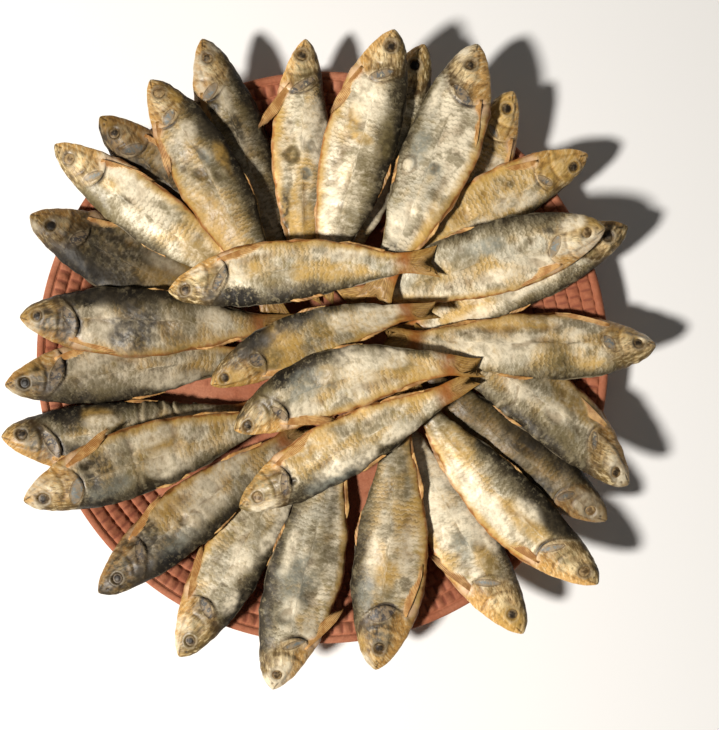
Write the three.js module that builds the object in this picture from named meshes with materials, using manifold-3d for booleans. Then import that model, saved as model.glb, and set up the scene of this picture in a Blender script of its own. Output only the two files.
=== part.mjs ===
// A terracotta plate heaped with thirty dried, fermented river fish.
// Millimetres, +Z up. The origin is the centre of the plate's foot, on the surface it stands on.
// The plate is one thrown dish. Each fish is one solid: body, forked tail and the upper pectoral fin.
import * as THREE from 'three';
import Module from 'manifold-3d';
import { mergeVertices } from 'three/addons/utils/BufferGeometryUtils.js';

const wasm = await Module();
wasm.setup();

// Driving dimensions of the plate
const PLATE_RADIUS = 125;
const RIM_HEIGHT = 18;
const RIM_WIDTH = 3.6;
const RIM_GROOVE_DEPTH = 1;
const FLOOR_HEIGHT = 6.5;
const FOOT_RADIUS = 84;
const WALL_THICKNESS = 6;
const RIDGE_COUNT = 5;
const RIDGE_PITCH = 5;
const RIDGE_RISE = 1.1;
const RIDGE_CROWN = [0.25, 0.75];
const FOOT_BEVEL = { width: 3, height: 1 };
const UNDERSIDE_KNEE = { outside: 6, below: 2 };
const LOWER_RIM_BEVEL = { width: 2, height: 1.5 };
const UPPER_RIM_BEVEL = { width: 0.8, height: 1 };
const INNER_RIM_BEVEL = 0.6;
const PLATE_SIDES = 60;
const MERGE_DISTANCE = 1e-4;

// Driving dimensions that all the fish share, as shares of a fish's own length, depth and thickness
const THICKNESS_SHARE = 0.38;
const RING_POINTS = 12;
const RING_PLACES = [0.025, 0.07, 0.13, 0.2, 0.25, 0.36, 0.48, 0.6, 0.72, 0.82, 0.875, 0.93, 1];
const BACK_EDGE = [
  [0, 0.02], [0.03, 0.155], [0.09, 0.27], [0.18, 0.37], [0.3, 0.44], [0.42, 0.45],
  [0.56, 0.4], [0.7, 0.29], [0.8, 0.2], [0.87, 0.165], [0.94, 0.2], [1, 0.26],
];
const BELLY_EDGE = [
  [0, 0.02], [0.03, 0.15], [0.09, 0.295], [0.18, 0.44], [0.3, 0.53], [0.42, 0.55],
  [0.56, 0.49], [0.7, 0.34], [0.8, 0.22], [0.87, 0.17], [0.94, 0.2], [1, 0.26],
];
const HALF_THICKNESS = [
  [0, 0.05], [0.03, 0.22], [0.09, 0.37], [0.16, 0.47], [0.21, 0.5], [0.26, 0.44], [0.42, 0.43],
  [0.58, 0.35], [0.72, 0.24], [0.82, 0.17], [0.875, 0.12], [0.94, 0.06], [1, 0.05],
];
const SECTION_POWER = 2.4;
const SECTION_ROUNDNESS = 0.6;
const KEEL_SHARPNESS = 0.25;
const PEDUNCLE = 0.875;
const FORK_DEPTH = 0.08;
const BALANCE_POINT = 0.42;

// The upper pectoral fin. Its outline beyond the root is given as shares of its length and width.
const FIN_LENGTH = 18;
const FIN_WIDTH = 5;
const FIN_THICKNESS = 1.2;
const FIN_OUTLINE = [[0.85, 0.6], [1, 0.1], [0.8, -0.4]];
const FIN_ROOT = 0.225;
const FIN_ROOT_TURN = 0.74;
const FIN_ROOT_WIDTH = 2;
const FIN_INSIDE_BODY = 3;
const FIN_BELOW_SKIN = 0.5;
const FIN_DROOP = 2;

// The fish as they lie. nose and heading are in the plane of the plate, in millimetres and degrees, and the
// heading runs from nose to tail. belly is 1 where the belly is on the left of the heading, -1 on the right.
// bend bows the body towards the back and arch bows it upwards. fin is the angle at which the upper pectoral
// fin stands off the body. Lower layers lie under higher ones. The fish round the rim go clockwise.
const RIM_FISH = [
  { nose: [-125, 61], heading: -28, length: 112, depth: 30, belly: 1, bend: 0, arch: 1, fin: 10, layer: 1 },
  { nose: [-113, 90], heading: -35, length: 112, depth: 25, belly: 1, bend: 2, arch: 1, fin: 12, layer: 4 },
  { nose: [-95, 103], heading: -45, length: 110, depth: 27, belly: 1, bend: 0, arch: 0, fin: 10, layer: 1 },
  { nose: [-72, 117], heading: -63, length: 116, depth: 28, belly: -1, bend: 5, arch: 1, fin: 14, layer: 6 },
  { nose: [-51, 136], heading: -70, length: 116, depth: 27, belly: -1, bend: 0, arch: 0, fin: 10, layer: 1 },
  { nose: [-7, 137], heading: -90, length: 114, depth: 24, belly: -1, bend: -2, arch: 1, fin: 34, layer: 4 },
  { nose: [31, 137], heading: -107, length: 118, depth: 31, belly: -1, bend: 1, arch: 1, fin: 18, layer: 6 },
  { nose: [44, 134], heading: -111, length: 112, depth: 27, belly: -1, bend: 0, arch: 0, fin: 10, layer: 1 },
  { nose: [66, 132], heading: -112, length: 118, depth: 32, belly: 1, bend: -1, arch: 1, fin: 10, layer: 7 },
  { nose: [82, 114], heading: -116, length: 110, depth: 26, belly: 1, bend: 0, arch: 0, fin: 10, layer: 1 },
  { nose: [114, 87], heading: -150, length: 112, depth: 26, belly: -1, bend: -2, arch: 1, fin: 10, layer: 4 },
  { nose: [119, 54], heading: -164, length: 116, depth: 32, belly: 1, bend: 3, arch: 1, fin: 10, layer: 6 },
  { nose: [131, 56], heading: -154, length: 114, depth: 27, belly: -1, bend: 0, arch: 0, fin: 10, layer: 1 },
  { nose: [143, 5], heading: 178, length: 118, depth: 31, belly: -1, bend: 4, arch: 1, fin: 12, layer: 7 },
  { nose: [130, -54], heading: 146, length: 114, depth: 30, belly: -1, bend: -8, arch: 1, fin: 10, layer: 4 },
  { nose: [122, -70], heading: 141, length: 112, depth: 26, belly: 1, bend: 0, arch: 0, fin: 10, layer: 2 },
  { nose: [117, -96], heading: 134, length: 118, depth: 28, belly: 1, bend: -3, arch: 1, fin: 10, layer: 6 },
  { nose: [86, -118], heading: 120, length: 116, depth: 28, belly: 1, bend: -1, arch: 0, fin: 18, layer: 1 },
  { nose: [23, -134], heading: 84, length: 116, depth: 32, belly: -1, bend: 0, arch: 1, fin: 10, layer: 6 },
  { nose: [-21, -142], heading: 75, length: 120, depth: 32, belly: -1, bend: 1, arch: 1, fin: 30, layer: 5 },
  { nose: [-61, -128], heading: 59, length: 114, depth: 28, belly: 1, bend: 0, arch: 0, fin: 18, layer: 1 },
  { nose: [-96, -101], heading: 39, length: 116, depth: 27, belly: 1, bend: 0, arch: 1, fin: 16, layer: 4 },
  { nose: [-124, -60], heading: 19, length: 118, depth: 29, belly: 1, bend: 1, arch: 1, fin: 22, layer: 6 },
  { nose: [-137, -34], heading: 6, length: 116, depth: 30, belly: -1, bend: -4, arch: 0, fin: 10, layer: 1 },
  { nose: [-136, -12], heading: 7, length: 116, depth: 28, belly: 1, bend: 0, arch: 0, fin: 10, layer: 1 },
  { nose: [-128, 17], heading: -2, length: 116, depth: 29, belly: -1, bend: 1, arch: 1, fin: 10, layer: 6 },
];
const TOP_FISH = [
  { nose: [-65, 28], heading: 6, length: 115, depth: 27, belly: 1, bend: -2, arch: 0, fin: 10, layer: 8 },
  { nose: [-49, -12], heading: 18, length: 104, depth: 24, belly: -1, bend: 8, arch: 0, fin: 10, layer: 9 },
  { nose: [-38, -31], heading: 14, length: 110, depth: 28, belly: -1, bend: 11, arch: 0, fin: 10, layer: 11 },
  { nose: [-36, -65], heading: 29, length: 117, depth: 26, belly: 1, bend: 0, arch: 0, fin: 10, layer: 10 },
];

// How a fish comes to rest on what lies under it
const GAP = 0.5;
const LEAST_PITCH = -6;
const MOST_PITCH = 15;
const MOST_TILT = 24;
const PITCH_STEP = 3;
const TILT_STEP = 6;
const FIRST_TURN = 2;
const LEAST_TURN = 0.2;

// The ground on which they rest, as a field of square cells. Faces with less area than this are skipped.
const CELL = 0.5;
const FIELD_HALF_WIDTH = 165;
const FEELER_STEPS = 4;
const LEAST_AREA = 1e-6;

const terracotta = new THREE.MeshStandardMaterial({ color: 0xb5583a, roughness: 0.85, metalness: 0 });
const silverSkin = new THREE.MeshStandardMaterial({ color: 0xa8926a, roughness: 0.5, metalness: 0.1 });
const goldenSkin = new THREE.MeshStandardMaterial({ color: 0xa67a45, roughness: 0.5, metalness: 0.1 });

// Smooth curve through the pairs of an edge list, read at one place along the body.
function alongBody(pairs, place) {
  let next = 1;
  while (next < pairs.length - 1 && pairs[next][0] < place) next += 1;
  const [x0, y0] = pairs[next - 1];
  const [x1, y1] = pairs[next];
  const before = pairs[Math.max(next - 2, 0)];
  const after = pairs[Math.min(next + 1, pairs.length - 1)];
  const span = x1 - x0;
  const slope0 = (y1 - before[1]) / (x1 - before[0]) * span;
  const slope1 = (after[1] - y0) / (after[0] - x0) * span;
  const t = (place - x0) / span;
  const rise = (2 * t - 3) * t * t;
  return y0 * (1 + rise) - y1 * rise + slope0 * t * (1 - t) * (1 - t) - slope1 * t * t * (1 - t);
}

// A point of a fish's skin. place runs from nose (0) to tail tip (1) and turn is the angle round the body
// from the back. x is along the body, y across it and z up; the balance point is at x = 0.
function skinPoint(fish, place, turn) {
  const across = Math.cos(turn);
  const edge = across > 0 ? alongBody(BACK_EDGE, place) : alongBody(BELLY_EDGE, place);
  const bow = 1 - (2 * place - 1) ** 2;
  const towardsBack = across * edge * fish.depth + fish.bend * bow;
  const finShare = THREE.MathUtils.smoothstep(place, PEDUNCLE, 1);
  const keel = across < 0 ? 1 + KEEL_SHARPNESS * across * (1 - finShare) : 1;
  const roundness = (1 - Math.abs(across) ** SECTION_POWER) ** SECTION_ROUNDNESS;
  const swell = roundness * keel * Math.sign(Math.sin(turn));
  const outwards = swell * alongBody(HALF_THICKNESS, place) * THICKNESS_SHARE * fish.depth;
  const along = place - FORK_DEPTH * finShare * (1 - Math.abs(across)) - BALANCE_POINT;
  return [along * fish.length, -fish.belly * towardsBack, fish.belly * outwards + fish.arch * bow];
}

// The closed skin of one fish: a fan at the nose, rings down the body and a strip that closes the tail fin.
function bodyGeometry(fish) {
  const points = [skinPoint(fish, 0, 0)];
  points[0][1] = 0;
  for (const place of RING_PLACES) {
    for (let k = 0; k < RING_POINTS; k += 1) {
      const turn = k === RING_POINTS / 2 ? Math.PI : (2 * Math.PI * k) / RING_POINTS;
      points.push(skinPoint(fish, place, turn));
    }
  }
  const faces = [];
  const at = (ring, k) => 1 + ring * RING_POINTS + (k % RING_POINTS);
  for (let k = 0; k < RING_POINTS; k += 1) {
    faces.push([0, at(0, k), at(0, k + 1)]);
    for (let ring = 1; ring < RING_PLACES.length; ring += 1) {
      faces.push([at(ring - 1, k), at(ring, k + 1), at(ring - 1, k + 1)]);
      faces.push([at(ring - 1, k), at(ring, k), at(ring, k + 1)]);
    }
  }
  const last = RING_PLACES.length - 1;
  for (let k = 0; k < RING_POINTS / 2; k += 1) {
    const far = RING_POINTS - k;
    if (k > 0) faces.push([at(last, far), at(last, k + 1), at(last, k)]);
    if (k < RING_POINTS / 2 - 1) faces.push([at(last, far), at(last, far - 1), at(last, k + 1)]);
  }
  return meshGeometry(points, faces);
}

// The upper pectoral fin: a thin blade from low behind the gill cover, back along the belly edge.
function finGeometry(fish) {
  const [rootX, rootY, rootZ] = skinPoint(fish, FIN_ROOT, fish.belly * Math.PI * FIN_ROOT_TURN);
  const outline = [[-FIN_INSIDE_BODY, -FIN_ROOT_WIDTH / 2], [-FIN_INSIDE_BODY, FIN_ROOT_WIDTH / 2]];
  for (const [back, out] of FIN_OUTLINE) outline.push([back * FIN_LENGTH, out * FIN_WIDTH]);
  const angle = THREE.MathUtils.degToRad(fish.fin);
  const points = [];
  for (const side of [-0.5, 0.5]) {
    for (const [back, out] of outline) {
      const x = rootX + back * Math.cos(angle) - out * Math.sin(angle);
      const y = rootY + fish.belly * (back * Math.sin(angle) + out * Math.cos(angle));
      const droop = FIN_DROOP * Math.max(back, 0) / FIN_LENGTH;
      points.push([x, y, rootZ - FIN_BELOW_SKIN - droop + side * FIN_THICKNESS]);
    }
  }
  const faces = [];
  const count = outline.length;
  for (let k = 1; k < count - 1; k += 1) {
    faces.push([0, k, k + 1], [count, count + k + 1, count + k]);
  }
  for (let k = 0; k < count; k += 1) {
    const next = (k + 1) % count;
    faces.push([k, count + next, next], [k, count + k, count + next]);
  }
  if (fish.belly < 0) faces.forEach((face) => face.reverse());
  return meshGeometry(points, faces);
}

function meshGeometry(points, faces) {
  const geometry = new THREE.BufferGeometry();
  geometry.setAttribute('position', new THREE.Float32BufferAttribute(points.flat(), 3));
  geometry.setIndex(faces.flat());
  return geometry;
}

function solidOf(geometry) {
  return new wasm.Manifold(new wasm.Mesh({
    numProp: 3,
    vertProperties: geometry.attributes.position.array,
    triVerts: new Uint32Array(geometry.index.array),
  }));
}

function geometryOf(solid) {
  const { vertProperties, triVerts } = solid.getMesh();
  const geometry = new THREE.BufferGeometry();
  geometry.setAttribute('position', new THREE.BufferAttribute(vertProperties, 3));
  geometry.setIndex(new THREE.BufferAttribute(triVerts, 1));
  return geometry;
}

function fishGeometry(fish) {
  return geometryOf(solidOf(bodyGeometry(fish)).add(solidOf(finGeometry(fish))));
}

// The plate's half section, from the middle of the foot round the rim and down the ridges to the floor.
function plateGeometry() {
  const ridgeOuter = PLATE_RADIUS - RIM_WIDTH;
  const floorRadius = ridgeOuter - RIDGE_COUNT * RIDGE_PITCH;
  const slopeTop = RIM_HEIGHT - RIM_GROOVE_DEPTH;
  const drop = (slopeTop - FLOOR_HEIGHT) / RIDGE_COUNT;
  const wallBottom = RIM_HEIGHT - WALL_THICKNESS;
  const section = [
    [0, 0],
    [FOOT_RADIUS, 0],
    [FOOT_RADIUS + FOOT_BEVEL.width, FOOT_BEVEL.height],
    [floorRadius + UNDERSIDE_KNEE.outside, FLOOR_HEIGHT - UNDERSIDE_KNEE.below],
    [PLATE_RADIUS - LOWER_RIM_BEVEL.width, wallBottom],
    [PLATE_RADIUS, wallBottom + LOWER_RIM_BEVEL.height],
    [PLATE_RADIUS, RIM_HEIGHT - UPPER_RIM_BEVEL.height],
    [PLATE_RADIUS - UPPER_RIM_BEVEL.width, RIM_HEIGHT],
    [ridgeOuter + INNER_RIM_BEVEL, RIM_HEIGHT],
  ];
  for (let ridge = 0; ridge < RIDGE_COUNT; ridge += 1) {
    const radius = ridgeOuter - ridge * RIDGE_PITCH;
    const height = slopeTop - ridge * drop;
    section.push([radius, height]);
    for (const share of RIDGE_CROWN) {
      section.push([radius - RIDGE_PITCH * share, height - drop * share + RIDGE_RISE]);
    }
  }
  section.push([floorRadius, FLOOR_HEIGHT], [0, FLOOR_HEIGHT]);
  const profile = section.map(([radius, height]) => new THREE.Vector2(radius, height));
  const lathe = new THREE.LatheGeometry(profile, PLATE_SIDES);
  lathe.rotateX(Math.PI / 2);
  lathe.deleteAttribute('normal');
  lathe.deleteAttribute('uv');
  return mergeVertices(lathe, MERGE_DISTANCE);
}

// The top of everything laid down so far, as heights on a square grid.
const fieldSize = Math.ceil((2 * FIELD_HALF_WIDTH) / CELL);
const field = new Float32Array(fieldSize * fieldSize);

function cellOf(distance) {
  return Math.floor((distance + FIELD_HALF_WIDTH) / CELL);
}

// Raises the field to the upper faces of a mesh that has come to rest.
function layDown(mesh) {
  mesh.updateMatrixWorld(true);
  const geometry = mesh.geometry;
  const corners = [new THREE.Vector3(), new THREE.Vector3(), new THREE.Vector3()];
  for (let i = 0; i < geometry.index.count; i += 3) {
    corners.forEach((corner, k) => {
      corner.fromBufferAttribute(geometry.attributes.position, geometry.index.getX(i + k));
      corner.applyMatrix4(mesh.matrixWorld);
    });
    const [a, b, c] = corners;
    const area = (b.x - a.x) * (c.y - a.y) - (c.x - a.x) * (b.y - a.y);
    if (area <= LEAST_AREA) continue;
    const left = cellOf(Math.min(a.x, b.x, c.x));
    const right = cellOf(Math.max(a.x, b.x, c.x));
    const low = cellOf(Math.min(a.y, b.y, c.y));
    const high = cellOf(Math.max(a.y, b.y, c.y));
    for (let row = low; row <= high; row += 1) {
      for (let column = left; column <= right; column += 1) {
        const x = (column + 0.5) * CELL - FIELD_HALF_WIDTH;
        const y = (row + 0.5) * CELL - FIELD_HALF_WIDTH;
        const shareB = ((x - a.x) * (c.y - a.y) - (c.x - a.x) * (y - a.y)) / area;
        const shareC = ((b.x - a.x) * (y - a.y) - (x - a.x) * (b.y - a.y)) / area;
        if (shareB < 0 || shareC < 0 || shareB + shareC > 1) continue;
        const height = a.z + shareB * (b.z - a.z) + shareC * (c.z - a.z);
        const cell = row * fieldSize + column;
        field[cell] = Math.max(field[cell], height);
      }
    }
  }
}

// The highest ground within one cell of a place.
function ground(x, y) {
  const column = cellOf(x);
  const row = cellOf(y);
  let height = 0;
  for (let dr = -1; dr <= 1; dr += 1) {
    for (let dc = -1; dc <= 1; dc += 1) {
      height = Math.max(height, field[(row + dr) * fieldSize + column + dc]);
    }
  }
  return height;
}

// Places spread over the faces of a fish, which feel for the ground.
function feelers(geometry) {
  const points = [];
  const { index, attributes } = geometry;
  const corner = (i) => new THREE.Vector3().fromBufferAttribute(attributes.position, index.getX(i));
  for (let i = 0; i < index.count; i += 3) {
    const [a, b, c] = [corner(i), corner(i + 1), corner(i + 2)];
    for (let u = 0; u <= FEELER_STEPS; u += 1) {
      for (let v = 0; v + u <= FEELER_STEPS; v += 1) {
        const point = a.clone().multiplyScalar(1 - (u + v) / FEELER_STEPS);
        points.push(point.addScaledVector(b, u / FEELER_STEPS).addScaledVector(c, v / FEELER_STEPS));
      }
    }
  }
  return points;
}

// Lowers a fish until it touches, and turns it to the pitch and tilt in which its weight lies lowest.
function settle(mesh, fish) {
  const heading = THREE.MathUtils.degToRad(fish.heading);
  const toBalance = BALANCE_POINT * fish.length;
  const middleX = fish.nose[0] + toBalance * Math.cos(heading);
  const middleY = fish.nose[1] + toBalance * Math.sin(heading);
  const points = feelers(mesh.geometry);
  const moved = new THREE.Vector3();
  const turned = new THREE.Quaternion();
  const restingHeight = (pitch, tilt) => {
    turned.setFromEuler(new THREE.Euler(
      THREE.MathUtils.degToRad(tilt), THREE.MathUtils.degToRad(pitch), heading, 'ZYX'));
    let height = 0;
    for (const point of points) {
      moved.copy(point).applyQuaternion(turned);
      height = Math.max(height, ground(moved.x + middleX, moved.y + middleY) - moved.z);
    }
    return height;
  };
  let best = { pitch: 0, tilt: 0, height: Infinity };
  const attempt = (pitch, tilt) => {
    if (Math.abs(tilt) > MOST_TILT) return false;
    const height = restingHeight(pitch, tilt);
    if (height >= best.height) return false;
    best = { pitch, tilt, height };
    return true;
  };
  for (let pitch = LEAST_PITCH; pitch <= MOST_PITCH; pitch += PITCH_STEP) {
    for (let tilt = -MOST_TILT; tilt <= MOST_TILT; tilt += TILT_STEP) attempt(pitch, tilt);
  }
  for (let step = FIRST_TURN; step > LEAST_TURN; step /= 2) {
    let better = true;
    while (better) {
      const { pitch, tilt } = best;
      better = false;
      for (const dp of [-step, 0, step]) {
        for (const dt of [-step, 0, step]) better = attempt(pitch + dp, tilt + dt) || better;
      }
    }
  }
  restingHeight(best.pitch, best.tilt);
  mesh.quaternion.copy(turned);
  mesh.position.set(middleX, middleY, best.height + GAP);
}

const plateOfFish = new THREE.Group();
const plate = new THREE.Mesh(plateGeometry(), terracotta);
plate.name = 'plate';
plateOfFish.add(plate);
layDown(plate);

const named = (fish, name) => ({ ...fish, name });
const namedRimFish = RIM_FISH.map((fish, i) => named(fish, `rim_fish_${String(i + 1).padStart(2, '0')}`));
const namedTopFish = TOP_FISH.map((fish, i) => named(fish, `top_fish_${i + 1}`));
const fromTheBottom = [...namedRimFish, ...namedTopFish].sort((a, b) => a.layer - b.layer);
for (const fish of fromTheBottom) {
  const skin = fish.belly > 0 ? silverSkin : goldenSkin;
  const mesh = new THREE.Mesh(fishGeometry(fish), skin);
  mesh.name = fish.name;
  settle(mesh, fish);
  layDown(mesh);
  plateOfFish.add(mesh);
}

export default plateOfFish;
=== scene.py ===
import math

import bpy
import numpy as np
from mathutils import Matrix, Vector


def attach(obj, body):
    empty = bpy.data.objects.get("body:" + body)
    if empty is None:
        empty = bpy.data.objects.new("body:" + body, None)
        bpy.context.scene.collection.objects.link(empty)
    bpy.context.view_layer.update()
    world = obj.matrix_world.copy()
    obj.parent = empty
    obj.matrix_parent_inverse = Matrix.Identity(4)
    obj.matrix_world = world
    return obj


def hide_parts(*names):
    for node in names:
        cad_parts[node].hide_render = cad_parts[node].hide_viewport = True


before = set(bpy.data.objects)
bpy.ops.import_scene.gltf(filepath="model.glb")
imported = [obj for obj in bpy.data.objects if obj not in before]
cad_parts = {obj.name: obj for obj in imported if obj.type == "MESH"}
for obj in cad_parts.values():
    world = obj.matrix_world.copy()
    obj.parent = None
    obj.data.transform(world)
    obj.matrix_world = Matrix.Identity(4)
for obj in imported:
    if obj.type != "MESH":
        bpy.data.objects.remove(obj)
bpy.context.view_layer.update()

# The plate: one dish of unglazed terracotta, thrown on a wheel. Inside a plain rim the slope to the flat
# floor carries five rings of small blocks, pressed into the clay with a notched roller before firing.
MM = 0.001
PLATE_RADIUS = 125
RIM_HEIGHT = 18
RIM_WIDTH = 3.6
RIM_GROOVE_DEPTH = 1
FLOOR_HEIGHT = 6.5
FOOT_RADIUS = 84
INNER_RADIUS = 40
WALL_THICKNESS = 6
RING_COUNT = 5
RING_PITCH = 5
RING_OUTER = PLATE_RADIUS - RIM_WIDTH
FLOOR_RADIUS = RING_OUTER - RING_COUNT * RING_PITCH
RING_PROFILE = (
    (0, -0.35), (0.06, 0.2), (0.16, 0.8), (0.32, 1.05), (0.5, 1.1), (0.68, 1.05), (0.84, 0.8), (0.94, 0.2))
BLOCKS_ROUND = 176
STEPS_ROUND = BLOCKS_ROUND * 5
BLOCK_SHIFT = 0.37
RING_JOIN = 0.02
CUT_WIDTH = 0.34
CUT_DEPTH = 0.75
CUT_FOOT = 0.2
UNEVEN_HEIGHT = 0.08
UNEVEN_LENGTH = 17
FINE_HEIGHT = 0.12
FINE_LENGTH = 4.5
TERRACOTTA = (0.33, 0.110, 0.052, 1)
TERRACOTTA_PALE = (0.42, 0.165, 0.088, 1)
TERRACOTTA_DARK = (0.16, 0.040, 0.020, 1)

# Noises over the clay: the scale of each for places in metres, its detail and its roughness
CLAY_NOISES = {
    "cloudy": (38.0, 4.0, 0.6),
    "grainy": (900.0, 3.0, 0.6),
    "worn": (160.0, 3.0, 0.65),
}

# Bumps in the light only: how deep in metres, and how strongly they show
CLAY_GRAIN = (0.00025, 0.6)
CLAY_WEAR = (0.0006, 0.5)

# Coats of colour in the order they lie: the tone, the field it follows, the ramp from that field to the
# coat's thickness (low, high, and the thickness at each), and any fields that it is held within
TERRACOTTA_COATS = (
    (TERRACOTTA_DARK, "worn", (0.5, 0.75, 0, 0.5)),
    (TERRACOTTA_DARK, "grainy", (0.35, 0.7, 0.25, 0)),
    # The groove coat is painted shade: darker colour laid in the cuts between the blocks
    (TERRACOTTA_DARK, "groove", (0.25, 1.0, 0, 0.75)),
)


def waves(along, across, size, seed, count=14):
    """A smooth uneven field made of seeded waves about size long, mostly between -1 and 1."""
    draw = np.random.default_rng(seed)
    field = np.zeros(np.broadcast(along, across).shape)
    for _ in range(count):
        direction = draw.uniform(0, 2 * math.pi)
        length = size * draw.uniform(0.7, 1.5)
        shift = draw.uniform(0, 2 * math.pi)
        turned = along * math.cos(direction) + across * math.sin(direction)
        field += np.sin(turned * 2 * math.pi / length + shift)
    return field / math.sqrt(count / 2) * 0.6


def make_object(name, points, faces, materials, face_materials=None, marks=None):
    """A smooth mesh from points in mm, with the marks that its materials read at each point."""
    mesh = bpy.data.meshes.new(name)
    mesh.from_pydata((np.asarray(points) * MM).tolist(), [], faces)
    for material in materials:
        mesh.materials.append(material)
    if face_materials is not None:
        mesh.polygons.foreach_set("material_index", face_materials)
    mesh.polygons.foreach_set("use_smooth", [True] * len(mesh.polygons))
    for mark, values in (marks or {}).items():
        values = np.asarray(values, np.float32)
        kind, field = ("FLOAT_VECTOR", "vector") if values.ndim == 2 else ("FLOAT", "value")
        mesh.attributes.new(mark, kind, "POINT").data.foreach_set(field, values.ravel())
    mesh.update()
    made = bpy.data.objects.new(name, mesh)
    bpy.context.scene.collection.objects.link(made)
    return made


class Finish:
    """A material: its shader, and the nodes that make the fields and colours that feed it."""

    def __init__(self, name, roughness, specular):
        self.material = bpy.data.materials.new(name)
        self.material.use_nodes = True
        self.tree = self.material.node_tree
        self.tree.nodes.clear()
        output = self.tree.nodes.new("ShaderNodeOutputMaterial")
        self.shader = self.tree.nodes.new("ShaderNodeBsdfPrincipled")
        self.shader.inputs["Roughness"].default_value = roughness
        self.shader.inputs["Specular IOR Level"].default_value = specular
        self.tree.links.new(self.shader.outputs["BSDF"], output.inputs["Surface"])

    def node(self, kind, inputs, **settings):
        made = self.tree.nodes.new(kind)
        for setting, value in settings.items():
            setattr(made, setting, value)
        for socket, value in inputs.items():
            if isinstance(value, bpy.types.NodeSocket):
                self.tree.links.new(value, made.inputs[socket])
            else:
                made.inputs[socket].default_value = value
        return made

    def feed(self, socket, value):
        self.tree.links.new(value, self.shader.inputs[socket])

    def mark(self, name, kind="Fac"):
        return self.node("ShaderNodeAttribute", {}, attribute_name=name).outputs[kind]

    def place(self):
        """Each point's place on the object, in metres."""
        return self.node("ShaderNodeTexCoord", {}).outputs["Object"]

    def noise(self, place, scale, detail, roughness):
        inputs = {"Vector": place, "Scale": scale, "Detail": detail, "Roughness": roughness}
        return self.node("ShaderNodeTexNoise", inputs).outputs["Fac"]

    def ramp(self, value, low, high, start=0.0, end=1.0):
        """value from low to high becomes start to end, smoothly, and stays there outside."""
        inputs = {"Value": value, "From Min": low, "From Max": high, "To Min": start, "To Max": end}
        return self.node("ShaderNodeMapRange", inputs, interpolation_type="SMOOTHSTEP").outputs["Result"]

    def math(self, operation, *values):
        return self.node("ShaderNodeMath", dict(enumerate(values)), operation=operation).outputs["Value"]

    def times(self, first, second):
        return self.math("MULTIPLY", first, second)

    def mixed(self, fields, amounts, start=0.0):
        """start plus the given amount of each named field."""
        total = start
        for name, amount in amounts.items():
            total = self.math("MULTIPLY_ADD", fields[name], amount, total)
        return total

    def over(self, share, under, tone, how="MIX"):
        """The colour under with tone laid over it as thickly as share says."""
        settings = {"data_type": "RGBA", "blend_type": how, "clamp_factor": True}
        return self.node("ShaderNodeMix", {0: share, 6: under, 7: tone}, **settings).outputs[2]

    def coats(self, fields, colour, coats, how="MIX"):
        for tone, field, span, *within in coats:
            share = self.ramp(fields[field], *span)
            for name in within:
                share = self.times(share, fields[name])
            colour = self.over(share, colour, tone, how)
        return colour

    def bumped(self, height, distance, strength, under=None):
        inputs = {"Height": height, "Distance": distance, "Strength": strength}
        if under is not None:
            inputs["Normal"] = under
        return self.node("ShaderNodeBump", inputs).outputs["Normal"]


def plate_section():
    """Half the plate's section as radius and height, from the middle of the foot over the rim to the
    middle of the floor, and for each point how deep the cuts between the blocks are there."""
    slope_top = RIM_HEIGHT - RIM_GROOVE_DEPTH
    wall_top = RIM_HEIGHT - WALL_THICKNESS
    drop = (slope_top - FLOOR_HEIGHT) / RING_COUNT
    outside = [
        (0, 0), (INNER_RADIUS, 0), (FOOT_RADIUS - 1, 0), (FOOT_RADIUS, 0),
        (FOOT_RADIUS + 2, 0.5), (FOOT_RADIUS + 3.5, 1.1),
        (FLOOR_RADIUS, FLOOR_HEIGHT - 2.8), (FLOOR_RADIUS + 6, FLOOR_HEIGHT - 2),
        (FLOOR_RADIUS + 15, FLOOR_HEIGHT + 1.2), (PLATE_RADIUS - 3, wall_top - 0.4),
        (PLATE_RADIUS - 1, wall_top + 0.2), (PLATE_RADIUS, wall_top + 1.5),
    ]
    rim = [
        (PLATE_RADIUS, RIM_HEIGHT - 1.2), (PLATE_RADIUS - 0.3, RIM_HEIGHT - 0.5),
        (PLATE_RADIUS - 0.9, RIM_HEIGHT), (PLATE_RADIUS - 1.8, RIM_HEIGHT + 0.15),
        (RING_OUTER + 0.9, RIM_HEIGHT), (RING_OUTER + 0.3, RIM_HEIGHT - 0.4),
    ]
    floor = [
        (FLOOR_RADIUS, FLOOR_HEIGHT - 0.3), (FLOOR_RADIUS - 0.8, FLOOR_HEIGHT),
        (FLOOR_RADIUS - 30, FLOOR_HEIGHT), (INNER_RADIUS, FLOOR_HEIGHT), (0, FLOOR_HEIGHT),
    ]
    section = [(radius, height, 0) for radius, height in outside + rim]
    for ring in range(RING_COUNT):
        for share, rise in RING_PROFILE:
            radius = RING_OUTER - (ring + share) * RING_PITCH
            height = slope_top - (ring + share) * drop + rise
            section.append((radius, height, max(rise + CUT_FOOT, 0)))
    section += [(radius, height, 0) for radius, height in floor]
    return np.array(section, float)


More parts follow.
